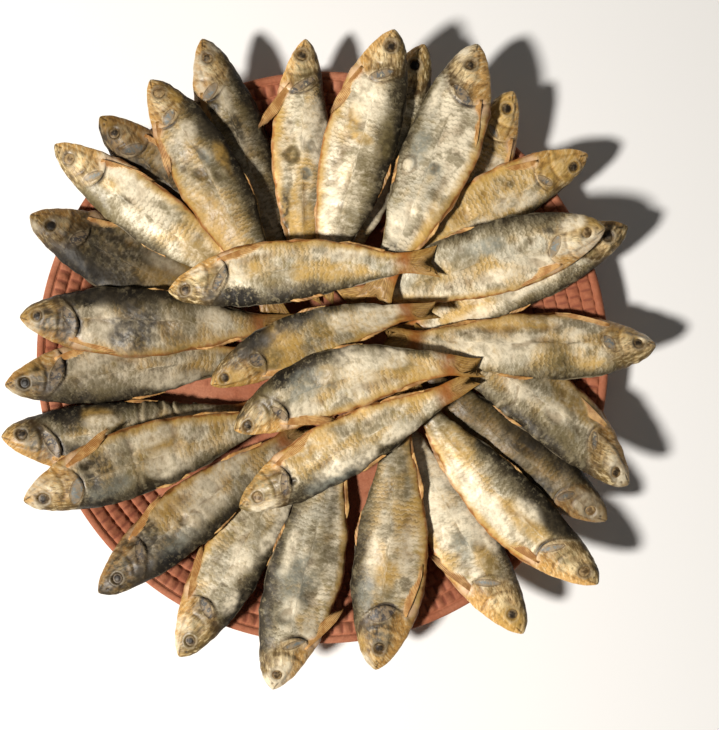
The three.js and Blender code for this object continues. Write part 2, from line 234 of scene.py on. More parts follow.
def plate_mesh():
    section = plate_section()
    around = np.arange(STEPS_ROUND) * 2 * math.pi / STEPS_ROUND
    radius, height, cut = (section[1:-1, k][:, None] for k in range(3))
    x, y = radius * np.cos(around), radius * np.sin(around)
    block = (around * BLOCKS_ROUND / (2 * math.pi)) % 1
    ring = np.floor((RING_OUTER - radius) / RING_PITCH + RING_JOIN)
    shifted = (block + BLOCK_SHIFT * ring) % 1
    to_cut = np.minimum(shifted, 1 - shifted) * 2
    groove = np.exp(-((to_cut / CUT_WIDTH) ** 2)) * cut
    uneven = waves(x, y, UNEVEN_LENGTH, seed=5)
    fine = waves(x, y, FINE_LENGTH, seed=6)
    lift = np.where(cut > 0, FINE_HEIGHT * fine * cut, 0) - CUT_DEPTH * groove * (1 + 0.25 * uneven)
    on_top = (height > FLOOR_HEIGHT - 1.5) & (radius < PLATE_RADIUS - 0.5)
    heights = height + lift + np.where(on_top, UNEVEN_HEIGHT * uneven, 0)
    points = np.stack([x, y, heights], axis=2).reshape(-1, 3)
    points = np.vstack([points, [0, 0, section[0, 1]], [0, 0, section[-1, 1]]])
    rows = len(section) - 2
    last = (rows - 1) * STEPS_ROUND
    faces = []
    for k in range(STEPS_ROUND):
        after = (k + 1) % STEPS_ROUND
        for low in range(0, last, STEPS_ROUND):
            faces.append((low + k, low + after, low + STEPS_ROUND + after, low + STEPS_ROUND + k))
        faces.append((len(points) - 2, after, k))
        faces.append((len(points) - 1, last + k, last + after))
    return points, faces, np.concatenate([groove.ravel(), [0, 0]])


def terracotta():
    clay = Finish("fired_terracotta", roughness=0.82, specular=0.3)
    place = clay.place()
    fields = {name: clay.noise(place, *grain) for name, grain in CLAY_NOISES.items()}
    fields["groove"] = clay.mark("groove")
    colour = clay.over(clay.ramp(fields["cloudy"], 0.35, 0.7), TERRACOTTA, TERRACOTTA_PALE)
    clay.feed("Base Color", clay.coats(fields, colour, TERRACOTTA_COATS))
    clay.feed("Roughness", clay.ramp(fields["worn"], 0.3, 0.7, 0.7, 0.9))
    rough = clay.bumped(fields["grainy"], *CLAY_GRAIN)
    clay.feed("Normal", clay.bumped(fields["worn"], *CLAY_WEAR, under=rough))
    return clay.material


plate_points, plate_faces, plate_grooves = plate_mesh()
plate = make_object("terracotta_plate", plate_points, plate_faces, [terracotta()],
                    marks={"groove": plate_grooves})
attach(plate, "root")
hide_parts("plate")

# The fish: thirty small river fish, salted, fermented and dried whole in the sun. The flat bodies are
# hard and shrunken, with the gill cover standing off the shoulder, a sharp keel along the belly, a sunken
# eye on each side, brittle fins and a forked tail. They only lie on the plate and on each other.
THICKNESS_SHARE = 0.38
BACK_EDGE = [
    (0, 0.02), (0.03, 0.155), (0.09, 0.27), (0.18, 0.37), (0.3, 0.44), (0.42, 0.45),
    (0.56, 0.4), (0.7, 0.29), (0.8, 0.2), (0.87, 0.165), (0.94, 0.2), (1, 0.26)]
BELLY_EDGE = [
    (0, 0.02), (0.03, 0.15), (0.09, 0.295), (0.18, 0.44), (0.3, 0.53), (0.42, 0.55),
    (0.56, 0.49), (0.7, 0.34), (0.8, 0.22), (0.87, 0.17), (0.94, 0.2), (1, 0.26)]
HALF_THICKNESS = [
    (0, 0.05), (0.03, 0.22), (0.09, 0.37), (0.16, 0.47), (0.21, 0.5), (0.26, 0.44), (0.42, 0.43),
    (0.58, 0.35), (0.72, 0.24), (0.82, 0.17), (0.875, 0.12), (0.94, 0.06), (1, 0.05)]
PEDUNCLE = 0.875
FORK_DEPTH = 0.08
BALANCE_POINT = 0.42
TAIL_SPREAD = 0.52
KEEL_SHARPNESS = 0.25
SIDE_ROUNDNESS = 2.4

# How each fish lies and looks: the side its belly is on (1 left of the line from nose to tail, -1 right),
# how far it bends towards its back and arches up in mm, the angle of its pectoral fin in degrees, then how
# golden, how dark and how pale its skin is, how far its dark back reaches down and how black its nape is.
FISH = {
    "rim_fish_01": (1, 0, 1, 10, 0.45, 0.70, 0.00, 0.60, 1.0),
    "rim_fish_02": (1, 2, 1, 12, 0.15, 0.00, 0.75, 0.15, 0.2),
    "rim_fish_03": (1, 0, 0, 10, 0.80, 0.75, 0.10, 0.50, 0.8),
    "rim_fish_04": (-1, 5, 1, 14, 0.60, 0.42, 0.00, 0.50, 0.35),
    "rim_fish_05": (-1, 0, 0, 10, 0.30, 0.50, 0.40, 0.45, 0.5),
    "rim_fish_06": (-1, -2, 1, 34, 0.65, 0.00, 0.70, 0.10, 0.4),
    "rim_fish_07": (-1, 1, 1, 18, 0.25, 0.08, 0.55, 0.55, 0.4),
    "rim_fish_08": (-1, 0, 0, 10, 0.70, 0.00, 0.60, 0.30, 0.4),
    "rim_fish_09": (1, -1, 1, 10, 0.05, 0.08, 0.80, 0.10, 0.2),
    "rim_fish_10": (1, 0, 0, 10, 0.90, 0.00, 0.75, 0.20, 0.2),
    "rim_fish_11": (-1, -2, 1, 10, 1.00, 0.00, 0.50, 0.05, 0.15),
    "rim_fish_12": (1, 3, 1, 10, 0.30, 0.00, 0.95, 0.15, 0.1),
    "rim_fish_13": (-1, 0, 0, 10, 0.40, 0.00, 0.75, 0.15, 0.3),
    "rim_fish_14": (-1, 4, 1, 12, 0.70, 0.00, 1.00, 0.05, 0.2),
    "rim_fish_15": (-1, -8, 1, 10, 0.40, 0.22, 0.45, 0.40, 0.4),
    "rim_fish_16": (1, 0, 0, 10, 0.80, 0.80, 0.10, 0.50, 0.4),
    "rim_fish_17": (1, -3, 1, 10, 0.45, 0.05, 0.80, 0.75, 1.0),
    "rim_fish_18": (1, -1, 0, 18, 0.45, 0.08, 0.75, 0.10, 0.4),
    "rim_fish_19": (-1, 0, 1, 10, 0.55, 0.35, 0.40, 0.25, 0.5),
    "rim_fish_20": (-1, 1, 1, 30, 0.10, 0.15, 0.60, 0.35, 0.4),
    "rim_fish_21": (1, 0, 0, 18, 0.25, 0.25, 0.40, 0.35, 0.6),
    "rim_fish_22": (1, 0, 1, 16, 0.45, 0.60, 0.35, 0.50, 1.0),
    "rim_fish_23": (1, 1, 1, 22, 0.50, 0.42, 0.35, 0.45, 0.6),
    "rim_fish_24": (-1, -4, 0, 10, 0.40, 0.42, 0.20, 0.45, 1.0),
    "rim_fish_25": (1, 0, 0, 10, 0.35, 0.60, 0.30, 0.40, 0.6),
    "rim_fish_26": (-1, 1, 1, 10, 0.50, 0.58, 0.30, 0.60, 1.0),
    "top_fish_1": (1, -2, 0, 10, 0.50, 0.00, 0.60, 0.48, 1.0),
    "top_fish_2": (-1, 8, 0, 10, 1.00, 0.38, 0.20, 0.45, 1.0),
    "top_fish_3": (-1, 11, 0, 10, 0.45, 0.20, 0.55, 0.45, 0.8),
    "top_fish_4": (1, 0, 0, 10, 0.50, 0.12, 0.50, 0.60, 0.5),
}

# How far the lobes of the tail stand apart, as a share of those of an open tail
FOLDED_TAILS = {
    "top_fish_2": 0.65, "top_fish_3": 0.6, "top_fish_4": 0.5, "rim_fish_26": 0.8, "rim_fish_14": 0.7}

# The heads, in mm: how far the eye is behind the nose and above the middle line, how far the gill cover's
# rear edge is behind the nose, how high its silvery mirror sits, half the mirror's length, and its width.
# Then how dark the mirror is, how open the slit behind it is, and how black the eye is.
HEADS = {
    "rim_fish_01": (10.4, 0.3, 26.0, -0.5, 4.0, 3.6, 1.0, 0.2, 1.0),
    "rim_fish_02": (9.0, 0.2, 24.3, -0.5, 4.2, 2.8, 0.1, 0.5, 0.0),
    "rim_fish_03": (9.5, 0.0, 23.0, -1.0, 5.0, 3.6, 0.4, 0.2, 0.4),
    "rim_fish_04": (7.2, 0.2, 21.2, -2.2, 3.8, 3.4, 0.2, 0.6, 0.1),
    "rim_fish_05": (8.8, -1.2, 25.4, -5.0, 4.5, 3.4, 0.1, 0.6, 0.3),
    "rim_fish_06": (7.4, -1.5, 23.0, -1.1, 5.8, 3.2, 0.9, 0.3, 0.3),
    "rim_fish_07": (7.2, 0.7, 22.2, 0.0, 5.0, 3.2, 0.6, 0.2, 0.6),
    "rim_fish_08": (10.0, -0.5, 25.0, -1.0, 4.5, 3.0, 0.9, 0.3, 1.0),
    "rim_fish_09": (10.6, -1.3, 27.2, -3.5, 5.6, 3.6, 0.8, 0.6, 0.4),
    "rim_fish_10": (8.0, -0.5, 22.0, 0.5, 3.2, 2.4, 0.2, 0.2, 0.5),
    "rim_fish_11": (8.6, 1.2, 25.6, 0.0, 3.6, 2.6, 0.6, 0.3, 0.5),
    "rim_fish_12": (8.2, 0.7, 25.4, -1.4, 4.8, 3.6, 0.1, 0.0, 0.1),
    "rim_fish_13": (9.5, 0.0, 25.0, -1.0, 4.0, 3.0, 0.8, 0.2, 0.8),
    "rim_fish_14": (8.3, -0.1, 24.0, -0.3, 3.4, 4.0, 0.4, 0.2, 0.5),
    "rim_fish_15": (7.6, 1.6, 25.2, -1.1, 3.6, 2.6, 0.5, 0.3, 0.3),
    "rim_fish_16": (8.2, -0.8, 23.0, -2.0, 3.6, 2.8, 0.2, 0.2, 0.1),
    "rim_fish_17": (8.2, 0.5, 27.6, -1.4, 5.2, 2.6, 0.3, 0.8, 0.1),
    "rim_fish_18": (9.5, 0.1, 29.0, -2.4, 5.4, 2.6, 0.3, 0.1, 0.5),
    "rim_fish_19": (10.2, -1.3, 28.6, -1.1, 5.6, 6.0, 1.0, 0.6, 0.5),
    "rim_fish_20": (6.9, 0.3, 23.8, -3.6, 4.6, 2.6, 0.3, 0.7, 0.2),
    "rim_fish_21": (8.4, 1.1, 26.6, -0.2, 4.6, 3.4, 0.8, 0.3, 0.6),
    "rim_fish_22": (10.5, 1.0, 28.0, -2.2, 5.0, 3.0, 1.0, 0.2, 0.7),
    "rim_fish_23": (8.0, 1.4, 24.8, 2.2, 5.6, 4.6, 0.2, 0.3, 0.7),
    "rim_fish_24": (9.1, 0.9, 24.8, -4.4, 6.2, 4.0, 1.0, 0.8, 0.7),
    "rim_fish_25": (8.9, -0.5, 26.6, -4.2, 6.6, 4.4, 1.0, 0.5, 1.0),
    "rim_fish_26": (8.0, 0.6, 25.8, -1.7, 5.6, 4.0, 0.9, 1.0, 0.6),
    "top_fish_1": (8.0, 1.3, 26.6, -1.0, 6.0, 3.2, 0.7, 0.3, 0.4),
    "top_fish_2": (7.8, -0.2, 27.4, 0.0, 3.4, 4.6, 0.9, 0.4, 0.6),
    "top_fish_3": (6.6, -2.2, 24.8, -4.6, 4.6, 2.8, 1.0, 0.8, 0.7),
    "top_fish_4": (10.0, -0.4, 26.4, -0.5, 5.0, 2.6, 1.0, 0.8, 0.0),
}

# Marks seen on the upper side of each fish: how far behind the nose and above the middle line each is, and
# half its length and height, all in mm. Of a dent or a lump the last two are its radius and its depth or
# height. A crease runs from back to belly, and its last two are half its width and its depth.
BLOTCHES = {
    # Fish 01's large dark marks over its front half are painted shadow over its dark brown skin.
    "rim_fish_01": {"dark": [(34, 0, 24, 16), (30, -3, 14, 9), (27, -9, 12, 5)], "gold": [(64, -3, 14, 8)],
        "pale": [(3, 4, 5, 2.5), (58, -8, 10, 4)]},
    "rim_fish_02": {"pale": [(34, -7, 10, 5), (27, -8, 10, 5)], "grey": [(32, 8, 10, 5), (78, 1, 10, 6),
        (27, 7, 9, 6), (58, -8, 8, 4)], "gold": [(29, -3, 5, 4), (76, 0, 12, 7)],
        "lump": [(44, 2, 7, 0.3)]},
    "rim_fish_03": {"pale": [(33, -6, 6, 4), (27, -9, 8, 3)], "dark": [(6, 5, 6, 3), (30, 2, 8, 4),
        (41, 0, 8, 5), (3, 4, 5, 2)], "gold": [(3, 0, 6, 2.5)]},
    "rim_fish_04": {"pale": [(27, 1, 5, 5)], "dent": [(38, 1, 3.6, 0.6), (44, -4, 4.2, 0.7),
        (49, 3, 3.4, 0.5)], "blue": [(39, 2, 4, 3.5)], "grey": [(48, 0, 7, 6), (44, -5, 5, 4)],
        "gold": [(66, -6, 16, 6), (11, 5, 4, 2.5), (42, 8, 8, 3), (58, -9, 12, 4)],
        "dark": [(30, 8, 6, 5)]},
    "rim_fish_05": {"pale": [(19, -8, 5, 3), (28, 0, 5, 3), (2, 4, 6, 3), (13, -6, 7, 5)],
        "grey": [(34, 0, 9, 8)], "dark": [(42, 0, 8, 4), (28, -6, 6, 4)]},
    "rim_fish_06": {"pale": [(48, 7, 9, 4), (45, 4, 1.8, 1.8), (33, 4, 8, 5), (42, 8, 8, 3), (42, 0, 5, 3),
        (40, 9, 10, 4)], "blue": [(45, 4, 3.2, 3.2), (57, 1, 3, 3.4)], "dent": [(45, 4, 3, 0.4),
        (49, -5, 4.6, 0.7), (57, 1, 3, 0.5)], "grey": [(49, -5, 4.2, 3.6), (17, 0, 6, 6)],
        "gold": [(80, 0, 14, 9), (74, -5, 9, 4)], "dark": [(74, -8, 14, 2)]},
    "rim_fish_07": {"crease": [(41, 0, 1.2, 0.12)], "gold": [(40, -7, 8, 4), (46, -2, 2.5, 8)],
        "grey": [(62, 3, 16, 6), (46, 8, 12, 4), (80, 2, 8, 5)], "pale": [(75, -6, 16, 4), (30, -2, 9, 8)]},
    # The pale mark on fish 08's rear half is painted light where its neighbours shade it.
    "rim_fish_08": {"pale": [(68, 4, 16, 5)]},
    "rim_fish_09": {"blue": [(50, 6, 10, 5), (57, -3, 4, 4)], "pale": [(82, 2, 12, 5), (58, 9, 2.6, 2.6),
        (2, 4, 8, 3), (30, 8, 8, 3)], "lump": [(58, 9, 3.4, 0.9)], "dent": [(56, -3, 3, 0.6)],
        # The dark mark on fish 09's tail is painted shade.
        "gold": [(80, -9, 16, 3)], "dark": [(97, 0, 8, 9)]},
    "rim_fish_10": {"pale": [(33, -6, 8, 4)], "gold": [(12, 0, 12, 6)]},
    "rim_fish_11": {"gold": [(15, -2, 12, 8), (78, 0, 20, 8)], "dent": [(42, -1, 3, 0.4)],
        "pale": [(32, 4, 6, 4), (42, 0, 6, 4), (56, 3, 7, 3)]},
    "rim_fish_12": {"pale": [(10, -4, 10, 6), (17, -3, 8, 4), (31, -6, 8, 4), (46, -8, 10, 4),
        (13, 6, 6, 3), (3, -5, 6, 3)], "dark": [(23, 6, 3.5, 2.5), (97, 5, 8, 4)], "blue": [(50, 6, 10, 4)],
        "grey": [(60, 3, 8, 5), (77, 0, 9, 7)], "gold": [(6, 3, 9, 5)]},
    "rim_fish_13": {"pale": [(48, 2, 12, 6), (75, 6, 8, 4)], "gold": [(76, 3, 14, 5)],
        # The dark marks on fish 13's head are painted shade.
        "dark": [(6, 1, 7, 6), (3, 0, 8, 4)], "grey": [(19, 0, 6, 5), (58, 0, 8, 5)]},
    "rim_fish_14": {"grey": [(43, 3, 8, 6)], "pale": [(66, 2, 14, 7), (84, 2, 8, 5), (3, -4, 6, 3),
        (58, 0, 9, 6), (76, 5, 9, 5)], "gold": [(60, -10, 20, 4), (12, -5, 10, 4), (28, 8, 8, 3)]},
    "rim_fish_15": {"gold": [(36, -8, 12, 5)], "grey": [(32, 6, 9, 5), (56, -8, 24, 4), (74, -6, 10, 4)],
        "dent": [(42, 2, 5, 0.6)], "crease": [(60, 0, 1.2, 0.3)], "pale": [(60, 1, 8, 4), (7, 0, 7, 5),
        (42, 0, 7, 4)]},
    "rim_fish_16": {"dark": [(48, 5, 9, 7), (32, -6, 9, 4), (42, -7, 10, 4)], "gold": [(4, 0, 6, 4)],
        "grey": [(58, 6, 8, 3), (74, 0, 12, 6)], "pale": [(9, -1, 8, 4), (12, 3, 6, 3)]},
    "rim_fish_17": {"dark": [(31, 8, 9, 5), (5, 5, 5, 2.5)], "pale": [(60, -8, 22, 5), (42, 3, 8, 4)],
        "gold": [(40, -1, 14, 5), (84, 0, 10, 8)], "dent": [(46, -6, 1.6, 0.4)], "grey": [(18, 0, 5, 5),
        (96, 0, 8, 8)]},
    "rim_fish_18": {"gold": [(8, -2, 8, 7), (33, 2, 7, 5)], "pale": [(50, 5, 10, 5), (66, -2, 14, 8),
        (84, 0, 10, 8), (42, 8, 8, 3), (58, -8, 10, 4), (76, 4, 10, 5)], "grey": [(30, 2, 8, 6)],
        "dent": [(41, 3, 4, 0.4)], "blue": [(45, -3, 6, 5)]},
    "rim_fish_19": {"dark": [(17, 0, 9, 8)], "gold": [(42, -1, 9, 6), (12, 6, 5, 3)],
        "blue": [(34, 7, 9, 4)], "grey": [(29, 0, 8, 8), (81, -2, 9, 8), (94, 0, 9, 8)],
        "pale": [(50, 6, 9, 4), (54, -8, 12, 3), (2, 4, 6, 3)]},
    "rim_fish_20": {"blue": [(45, 2, 16, 8)], "grey": [(62, -5, 18, 5)], "pale": [(35, 2, 5, 4),
        (30, -8, 8, 3), (58, 8, 9, 3), (9, -1, 6, 5), (4, 0, 6, 6)], "dent": [(32, 3, 4, 0.6)],
        "lump": [(37, -2, 4, 0.5)]},
    "rim_fish_21": {"grey": [(8, 0, 6, 5), (62, 0, 10, 9), (46, -8, 12, 4), (18, 0, 6, 4)],
        "pale": [(30, 7, 6, 3), (48, 2, 9, 5), (76, 6, 10, 4), (3, -4, 6, 3), (13, -6, 5, 3),
        (66, 8, 14, 3)], "lump": [(40, 2, 5, 0.4)]},
    "rim_fish_22": {"dark": [(14, 1, 15, 10), (31, -4, 7, 10), (20, 7, 9, 6), (12, 0, 9, 7), (27, -7, 7, 5),
        (26, -8, 9, 5)], "blue": [(40, 5, 9, 5)], "pale": [(66, -6, 16, 5), (56, 1, 10, 4), (58, 0, 9, 8),
        (74, -7, 8, 5), (76, -8, 12, 5), (57, -2, 8, 6)], "lump": [(43, -2, 4, 0.7), (51, 3, 4, 0.6)],
        "dent": [(47, 0, 3, 0.6)], "gold": [(44, -9, 12, 3)]},
    "rim_fish_23": {"pale": [(6, -5, 7, 4), (60, 3, 10, 6), (2, 4, 6, 3), (58, -9, 10, 4)],
        "gold": [(60, -4, 9, 8)], "blue": [(34, 5, 8, 5)], "dark": [(32, -3, 8, 8)],
        "grey": [(46, 0, 9, 9)], "dent": [(28, -7, 3, 0.6)], "crease": [(47, 0, 1.4, 0.2),
        (66, 0, 1.6, 0.3)]},
    "rim_fish_24": {"dark": [(17, -2, 9, 9), (30, 5, 6, 5), (13, 0, 6, 5), (27, -7, 7, 4), (26, -8, 9, 5)],
        "pale": [(42, 5, 9, 3), (76, 0, 8, 5)], "gold": [(72, 0, 14, 6), (40, 8, 8, 4)],
        "grey": [(33, -6, 9, 6), (50, -1, 10, 6)], "crease": [(58, 0, 0.9, 0.8), (66, 0, 0.9, 0.7),
        (73, 0, 1, 0.8)]},
    "rim_fish_25": {"dark": [(18, 0, 9, 8), (8, 0, 5, 4)], "grey": [(38, 2, 14, 9)],
        "gold": [(60, -8, 18, 4), (13, -5, 5, 3)], "pale": [(70, 6, 14, 4), (36, -5, 5, 3), (2, 4, 6, 3),
        (42, -8, 9, 3)]},
    "rim_fish_26": {"dark": [(20, -3, 7, 9), (51, -2, 10, 15), (33, 9, 12, 4), (14, -1, 5, 6),
        (44, -5, 6, 8), (13, -3, 5, 6), (43, -8, 6, 6)], "pale": [(37, -2, 6, 9), (82, 2, 7, 5),
        (5, -4, 6, 3), (27, -9, 6, 4)], "grey": [(67, -3, 12, 11)], "gold": [(4, 0, 6, 5)]},
    "top_fish_1": {"dark": [(20, 6, 6, 5)], "grey": [(19, 0, 6, 6), (45, 2, 8, 5)],
        "gold": [(36, -3, 4.5, 4), (58, 1, 5, 5), (74, 2, 10, 4)], "pale": [(30, -2, 5, 6), (13, -5, 5, 3),
        (28, -8, 8, 4), (75, -5, 10, 3)]},
    "top_fish_2": {"gold": [(10, -2, 9, 5), (32, -4, 12, 9), (36, 0, 10, 10), (12, -6, 6, 3)],
        "dark": [(20, 5, 8, 6), (30, 6, 5, 5)], "grey": [(56, 2, 4, 8), (30, -2, 8, 6)],
        "pale": [(64, 2, 6, 5), (80, 1, 10, 6), (75, 0, 9, 7)]},
    "top_fish_3": {"grey": [(17, 2, 9, 8), (47, 1, 4, 5), (77, 0, 5, 4), (13, 0, 5, 4)],
        "blue": [(36, 2, 10, 6)], "gold": [(45, 3, 5, 4), (64, -3, 3, 4), (82, -2, 8, 5), (77, -1, 7, 6)],
        "pale": [(32, -7, 7, 4), (60, 4, 9, 6), (72, 4, 7, 5), (58, 0, 9, 9), (72, 5, 8, 3), (29, -8, 8, 3),
        (58, 3, 10, 9), (73, 6, 9, 4)], "dark": [(6, 5, 5, 3)]},
    "top_fish_4": {"grey": [(16, -3, 9, 7), (68, -4, 14, 4), (3, 0, 8, 8), (13, -5, 7, 5)],
        "pale": [(10, 5, 8, 3), (44, 5, 10, 4), (76, 4, 10, 4), (58, 6, 9, 4)], "gold": [(42, -7, 12, 4)],
        "dent": [(27, 1, 2.5, 0.9)], "dark": [(26, 1, 2.5, 2.5)], "blue": [(42, 8, 12, 4)]},
}


def step(low, high, value):
    """0 before low, 1 after high, and smooth between them."""
    share = np.clip((value - low) / (high - low), 0, 1)
    return share * share * (3 - 2 * share)


def along_body(pairs, place):
    """Smooth curve through an edge list's pairs, read at places along the body."""
    pairs = np.array(pairs, float)
    place = np.asarray(place, float)
    after = np.clip(np.searchsorted(pairs[:, 0], place, side="left"), 1, len(pairs) - 1)
    before, beyond = np.maximum(after - 2, 0), np.minimum(after + 1, len(pairs) - 1)
    x, y = pairs.T
    (xb, yb), (x0, y0), (x1, y1), (xa, ya) = ((x[k], y[k]) for k in (before, after - 1, after, beyond))
    slope0 = (y1 - yb) / (x1 - xb) * (x1 - x0)
    slope1 = (ya - y0) / (xa - x0) * (x1 - x0)
    share = (place - x0) / (x1 - x0)
    rise = (2 * share - 3) * share * share
    bend = slope0 * share * (1 - share) ** 2 - slope1 * share ** 2 * (1 - share)
    return y0 * (1 + rise) - y1 * rise + bend


class Fish:
    """One fish's own sizes and where its solid lies: its length and depth in mm, its balance point, and the
    directions along, across and up through its body."""

    def __init__(self, name, number):
        self.name = name
        self.number = number
        self.belly, self.bend, self.arch, self.fin = FISH[name][:4]
        self.gold, self.dark, self.pale, self.back, self.nape = FISH[name][4:]
        self.eye_along, self.eye_up, self.gill_along, self.mirror_up = HEADS[name][:4]
        self.mirror_half, self.mirror_width, self.mirror_tone, self.slit, self.eye_tone = HEADS[name][4:]
        self.tail = FOLDED_TAILS.get(name, 1)
        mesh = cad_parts[name].data
        corners = np.unique(np.round([tuple(v.co / MM) for v in mesh.vertices], 3), axis=0)
        areas = np.array([face.area for face in mesh.polygons])
        middles = np.array([tuple(face.center / MM) for face in mesh.polygons])
        heavy = (middles * areas[:, None]).sum(0) / areas.sum()
        gaps = ((corners[:, None] - corners[None]) ** 2).sum(2)
        ends = corners[list(np.unravel_index(gaps.argmax(), gaps.shape))]
        nose, first_tip = sorted(ends, key=lambda end: np.linalg.norm(end - heavy))
        line = (first_tip - nose) / np.linalg.norm(first_tip - nose)
        near_tail = corners[(corners - nose) @ line > 0.97 * np.linalg.norm(first_tip - nose)]
        off_line = np.linalg.norm(np.cross(near_tail - nose, line), axis=1)
        second_tip = near_tail[off_line.argmax()]
        middle_tail = (first_tip + second_tip) / 2
        self.length = np.linalg.norm(middle_tail - nose)
        self.depth = np.linalg.norm(first_tip - second_tip) / TAIL_SPREAD
        along = (middle_tail - nose) / self.length
        left = np.cross([0, 0, 1], along)
        across = first_tip - second_tip
        across *= np.sign(across @ left)
        across -= along * (across @ along)
        across /= np.linalg.norm(across)
        self.turned = np.stack([along, across, np.cross(along, across)])
        self.middle = nose + along * BALANCE_POINT * self.length

    def in_place(self, points):
        return points @ self.turned + self.middle


def edge_there(fish, place, across):
    """How far the back or belly edge is from the body's middle line, in mm."""
    return np.where(across > 0, along_body(BACK_EDGE, place), along_body(BELLY_EDGE, place)) * fish.depth


def skin_points(fish, place, turn):
    """Points of the smooth body. place runs from nose (0) to tail tip (1), turn is the angle round the body
    from the back."""
    across = np.cos(turn)
    bow = 1 - (2 * place - 1) ** 2
    towards_back = across * edge_there(fish, place, across) + fish.bend * bow
    fin_share = step(PEDUNCLE, 1, place)
    towards_back = towards_back * (1 - (1 - fish.tail) * fin_share)
    keel = np.where(across < 0, 1 + KEEL_SHARPNESS * across * (1 - fin_share), 1)
    round_side = np.maximum(1 - np.abs(across) ** SIDE_ROUNDNESS, 0) ** 0.6
    outwards = round_side * keel * np.sign(np.sin(turn)) * along_body(HALF_THICKNESS, place)
    outwards = outwards * THICKNESS_SHARE * fish.depth
    along = place - FORK_DEPTH * fin_share * (1 - np.abs(across)) - BALANCE_POINT
    x = along * fish.length
    y = -fish.belly * towards_back
    z = fish.belly * outwards + fish.arch * bow
    return np.stack([x, y, z], axis=-1)


# Body mesh: rings from nose to tail, closest together over the head, and more points round the upper side.
# The relief's sizes are in mm, and its places are mm behind the nose on a head 25 mm long.
HEAD_RINGS = 64
BODY_RINGS = 104
TAIL_RINGS = 24
UPPER_POINTS = 44
LOWER_POINTS = 20
HEAD_END = 0.27
TAIL_START = 0.86
FULL_HEAD = 25
GILL_RADIUS = 8.5
GILL_DROP = 1.6
COVER_RISE = 0.12
COVER_RISE_AT_MIRROR = 0.5
COVER_SLOPE = 3.5
COVER_EDGE_BLUR = 0.25
NOTCH_DEPTH = 0.05
NOTCH_DEPTH_AT_MIRROR = 0.35
NOTCH_WIDTH = 1.5
SLIT_DEPTH = 0.8
MIRROR_TILT = math.radians(32)
MIRROR_BEFORE_EDGE = 2.9
MIRROR_LONGER = 1.15
MIRROR_WIDER = 1.2
MIRROR_DEPTH = 0.22
JAW_FOLD_DOWN = -1.0
JAW_FOLD_SLOPE = 0.55
JAW_FOLD_CURVE = 0.016
JAW_SINK = 0.14
CHEEK_ALONG = 13.5
CHEEK_DOWN = 2.2
CHEEK_RISE = 0.4
CHEEK_RADIUS = 3.2
BONE_PLATE_ALONG = 17.5
BONE_PLATE_CURVE = 0.05
HOLLOW_BEHIND_EYE = 6
HOLLOW_ABOVE_EYE = 1.6
HOLLOW_DEPTH = 0.35
HOLLOW_RADIUS = 1.8
HOLLOW_STRETCH = 1.5
CROWN_RIDGE_RISE = 0.06
CROWN_RIDGE_WIDTH = 1.7
SOCKET_RADIUS = 2.6
SOCKET_DEPTH = 0.4
BLACK_SOCKET_DEPTH = 0.7
SOCKET_RIM_RISE = 0.14
SOCKET_RIM_RADIUS = 3.0
SOCKET_RIM_WIDTH = 0.6
MOUTH_DEPTH = 0.35
MOUTH_DOWN = 0.1
MOUTH_SLOPE = 0.32
MOUTH_WIDTH = 0.35
NOSTRIL_PLACE = 0.42
NOSTRIL_UP = 0.8
NOSTRIL_RADIUS = 0.5
BELLY_HOLLOW_DEPTH = 0.3
BELLY_HOLLOW_CHANGE = 0.2
BELLY_HOLLOW_LENGTH = 40
GRAIN_RISE = 0.025
GRAIN_LENGTH = 2.6
CREASE_WANDER = 1.2
CREASE_LIP = 0.6
BLOTCH_FRAYING = 0.22
DENT_FRAYING = 0.35
DENT_SHARE = 0.7
DENT_LIP = 0.3
TAIL_RAYS = 11
TAIL_RAY_RISE = 0.09
TAIL_FRAYING = 1.2
TAIL_FRAYS = 12
NAPE_BEHIND_GILL = 3
NAPE_LENGTH = 13
NAPE_HEIGHT = 9
THROAT_BEFORE_GILL = 1
THROAT_DOWN = 0.78
THROAT_LENGTH = 4
THROAT_HEIGHT = 3.2
BACK_FADE = 0.2
OTHER_SIDE = 90.0
OTHER_SIDE_SHIFT = 7
SKIN_SHIFT = 37.0
SKIN_SIDE_SHIFT = 15.0
BLOTCH_KINDS = ("pale", "gold", "grey", "blue", "dark")

# Unevenness of bone and flank: how high and how long it is in mm, how much it is squeezed across, its seed
SEEDS_PER_FISH = 40
HEAD_WAVES = ((0.13, 5.5, 0.8, 11), (0.04, 2.1, 1, 12))
FLANK_WAVES = ((0.42, 24, 1, 2), (0.2, 13, 1, 10), (0.09, 6, 0.8, 3))

# Seams between the bones of the head, in mm: the rise of the ridge beside each, how far off and how wide
# the ridge is, and how deep and how wide the seam itself is
JAW_SEAM = (0.15, 1.3, 0.9, 0.2, 0.7)
PLATE_SEAM = (0.16, -1.4, 1.0, 0.24, 0.8)


def hump(distance, width):
    return np.exp(-((distance / width) ** 2))


def seam(distance, rise, beside, ridge_width, depth, width):
    return rise * hump(distance - beside, ridge_width) - depth * hump(distance, width)


def evened(field, reach):
    """The field averaged over reach rings before and behind and reach points round the body."""
    padded = np.pad(field, ((reach, reach), (0, 0)), mode="edge")
    rows = sum(padded[k:k + len(field)] for k in range(2 * reach + 1)) / (2 * reach + 1)
    return sum(np.roll(rows, k, axis=1) for k in range(-reach, reach + 1)) / (2 * reach + 1)


def facing_out(points, faces):
    """The faces of a closed skin, turned so that they all face outwards."""
    first = points[[face[0] for face in faces]]
    across = points[[face[2] for face in faces]] - first
    volume = 0.0
    for near in (1, -1):
        side = points[[face[near] for face in faces]] - first
        volume += near * np.einsum("ij,ij->", first, np.cross(side, across))
    return faces if volume > 0 else [face[::-1] for face in faces]


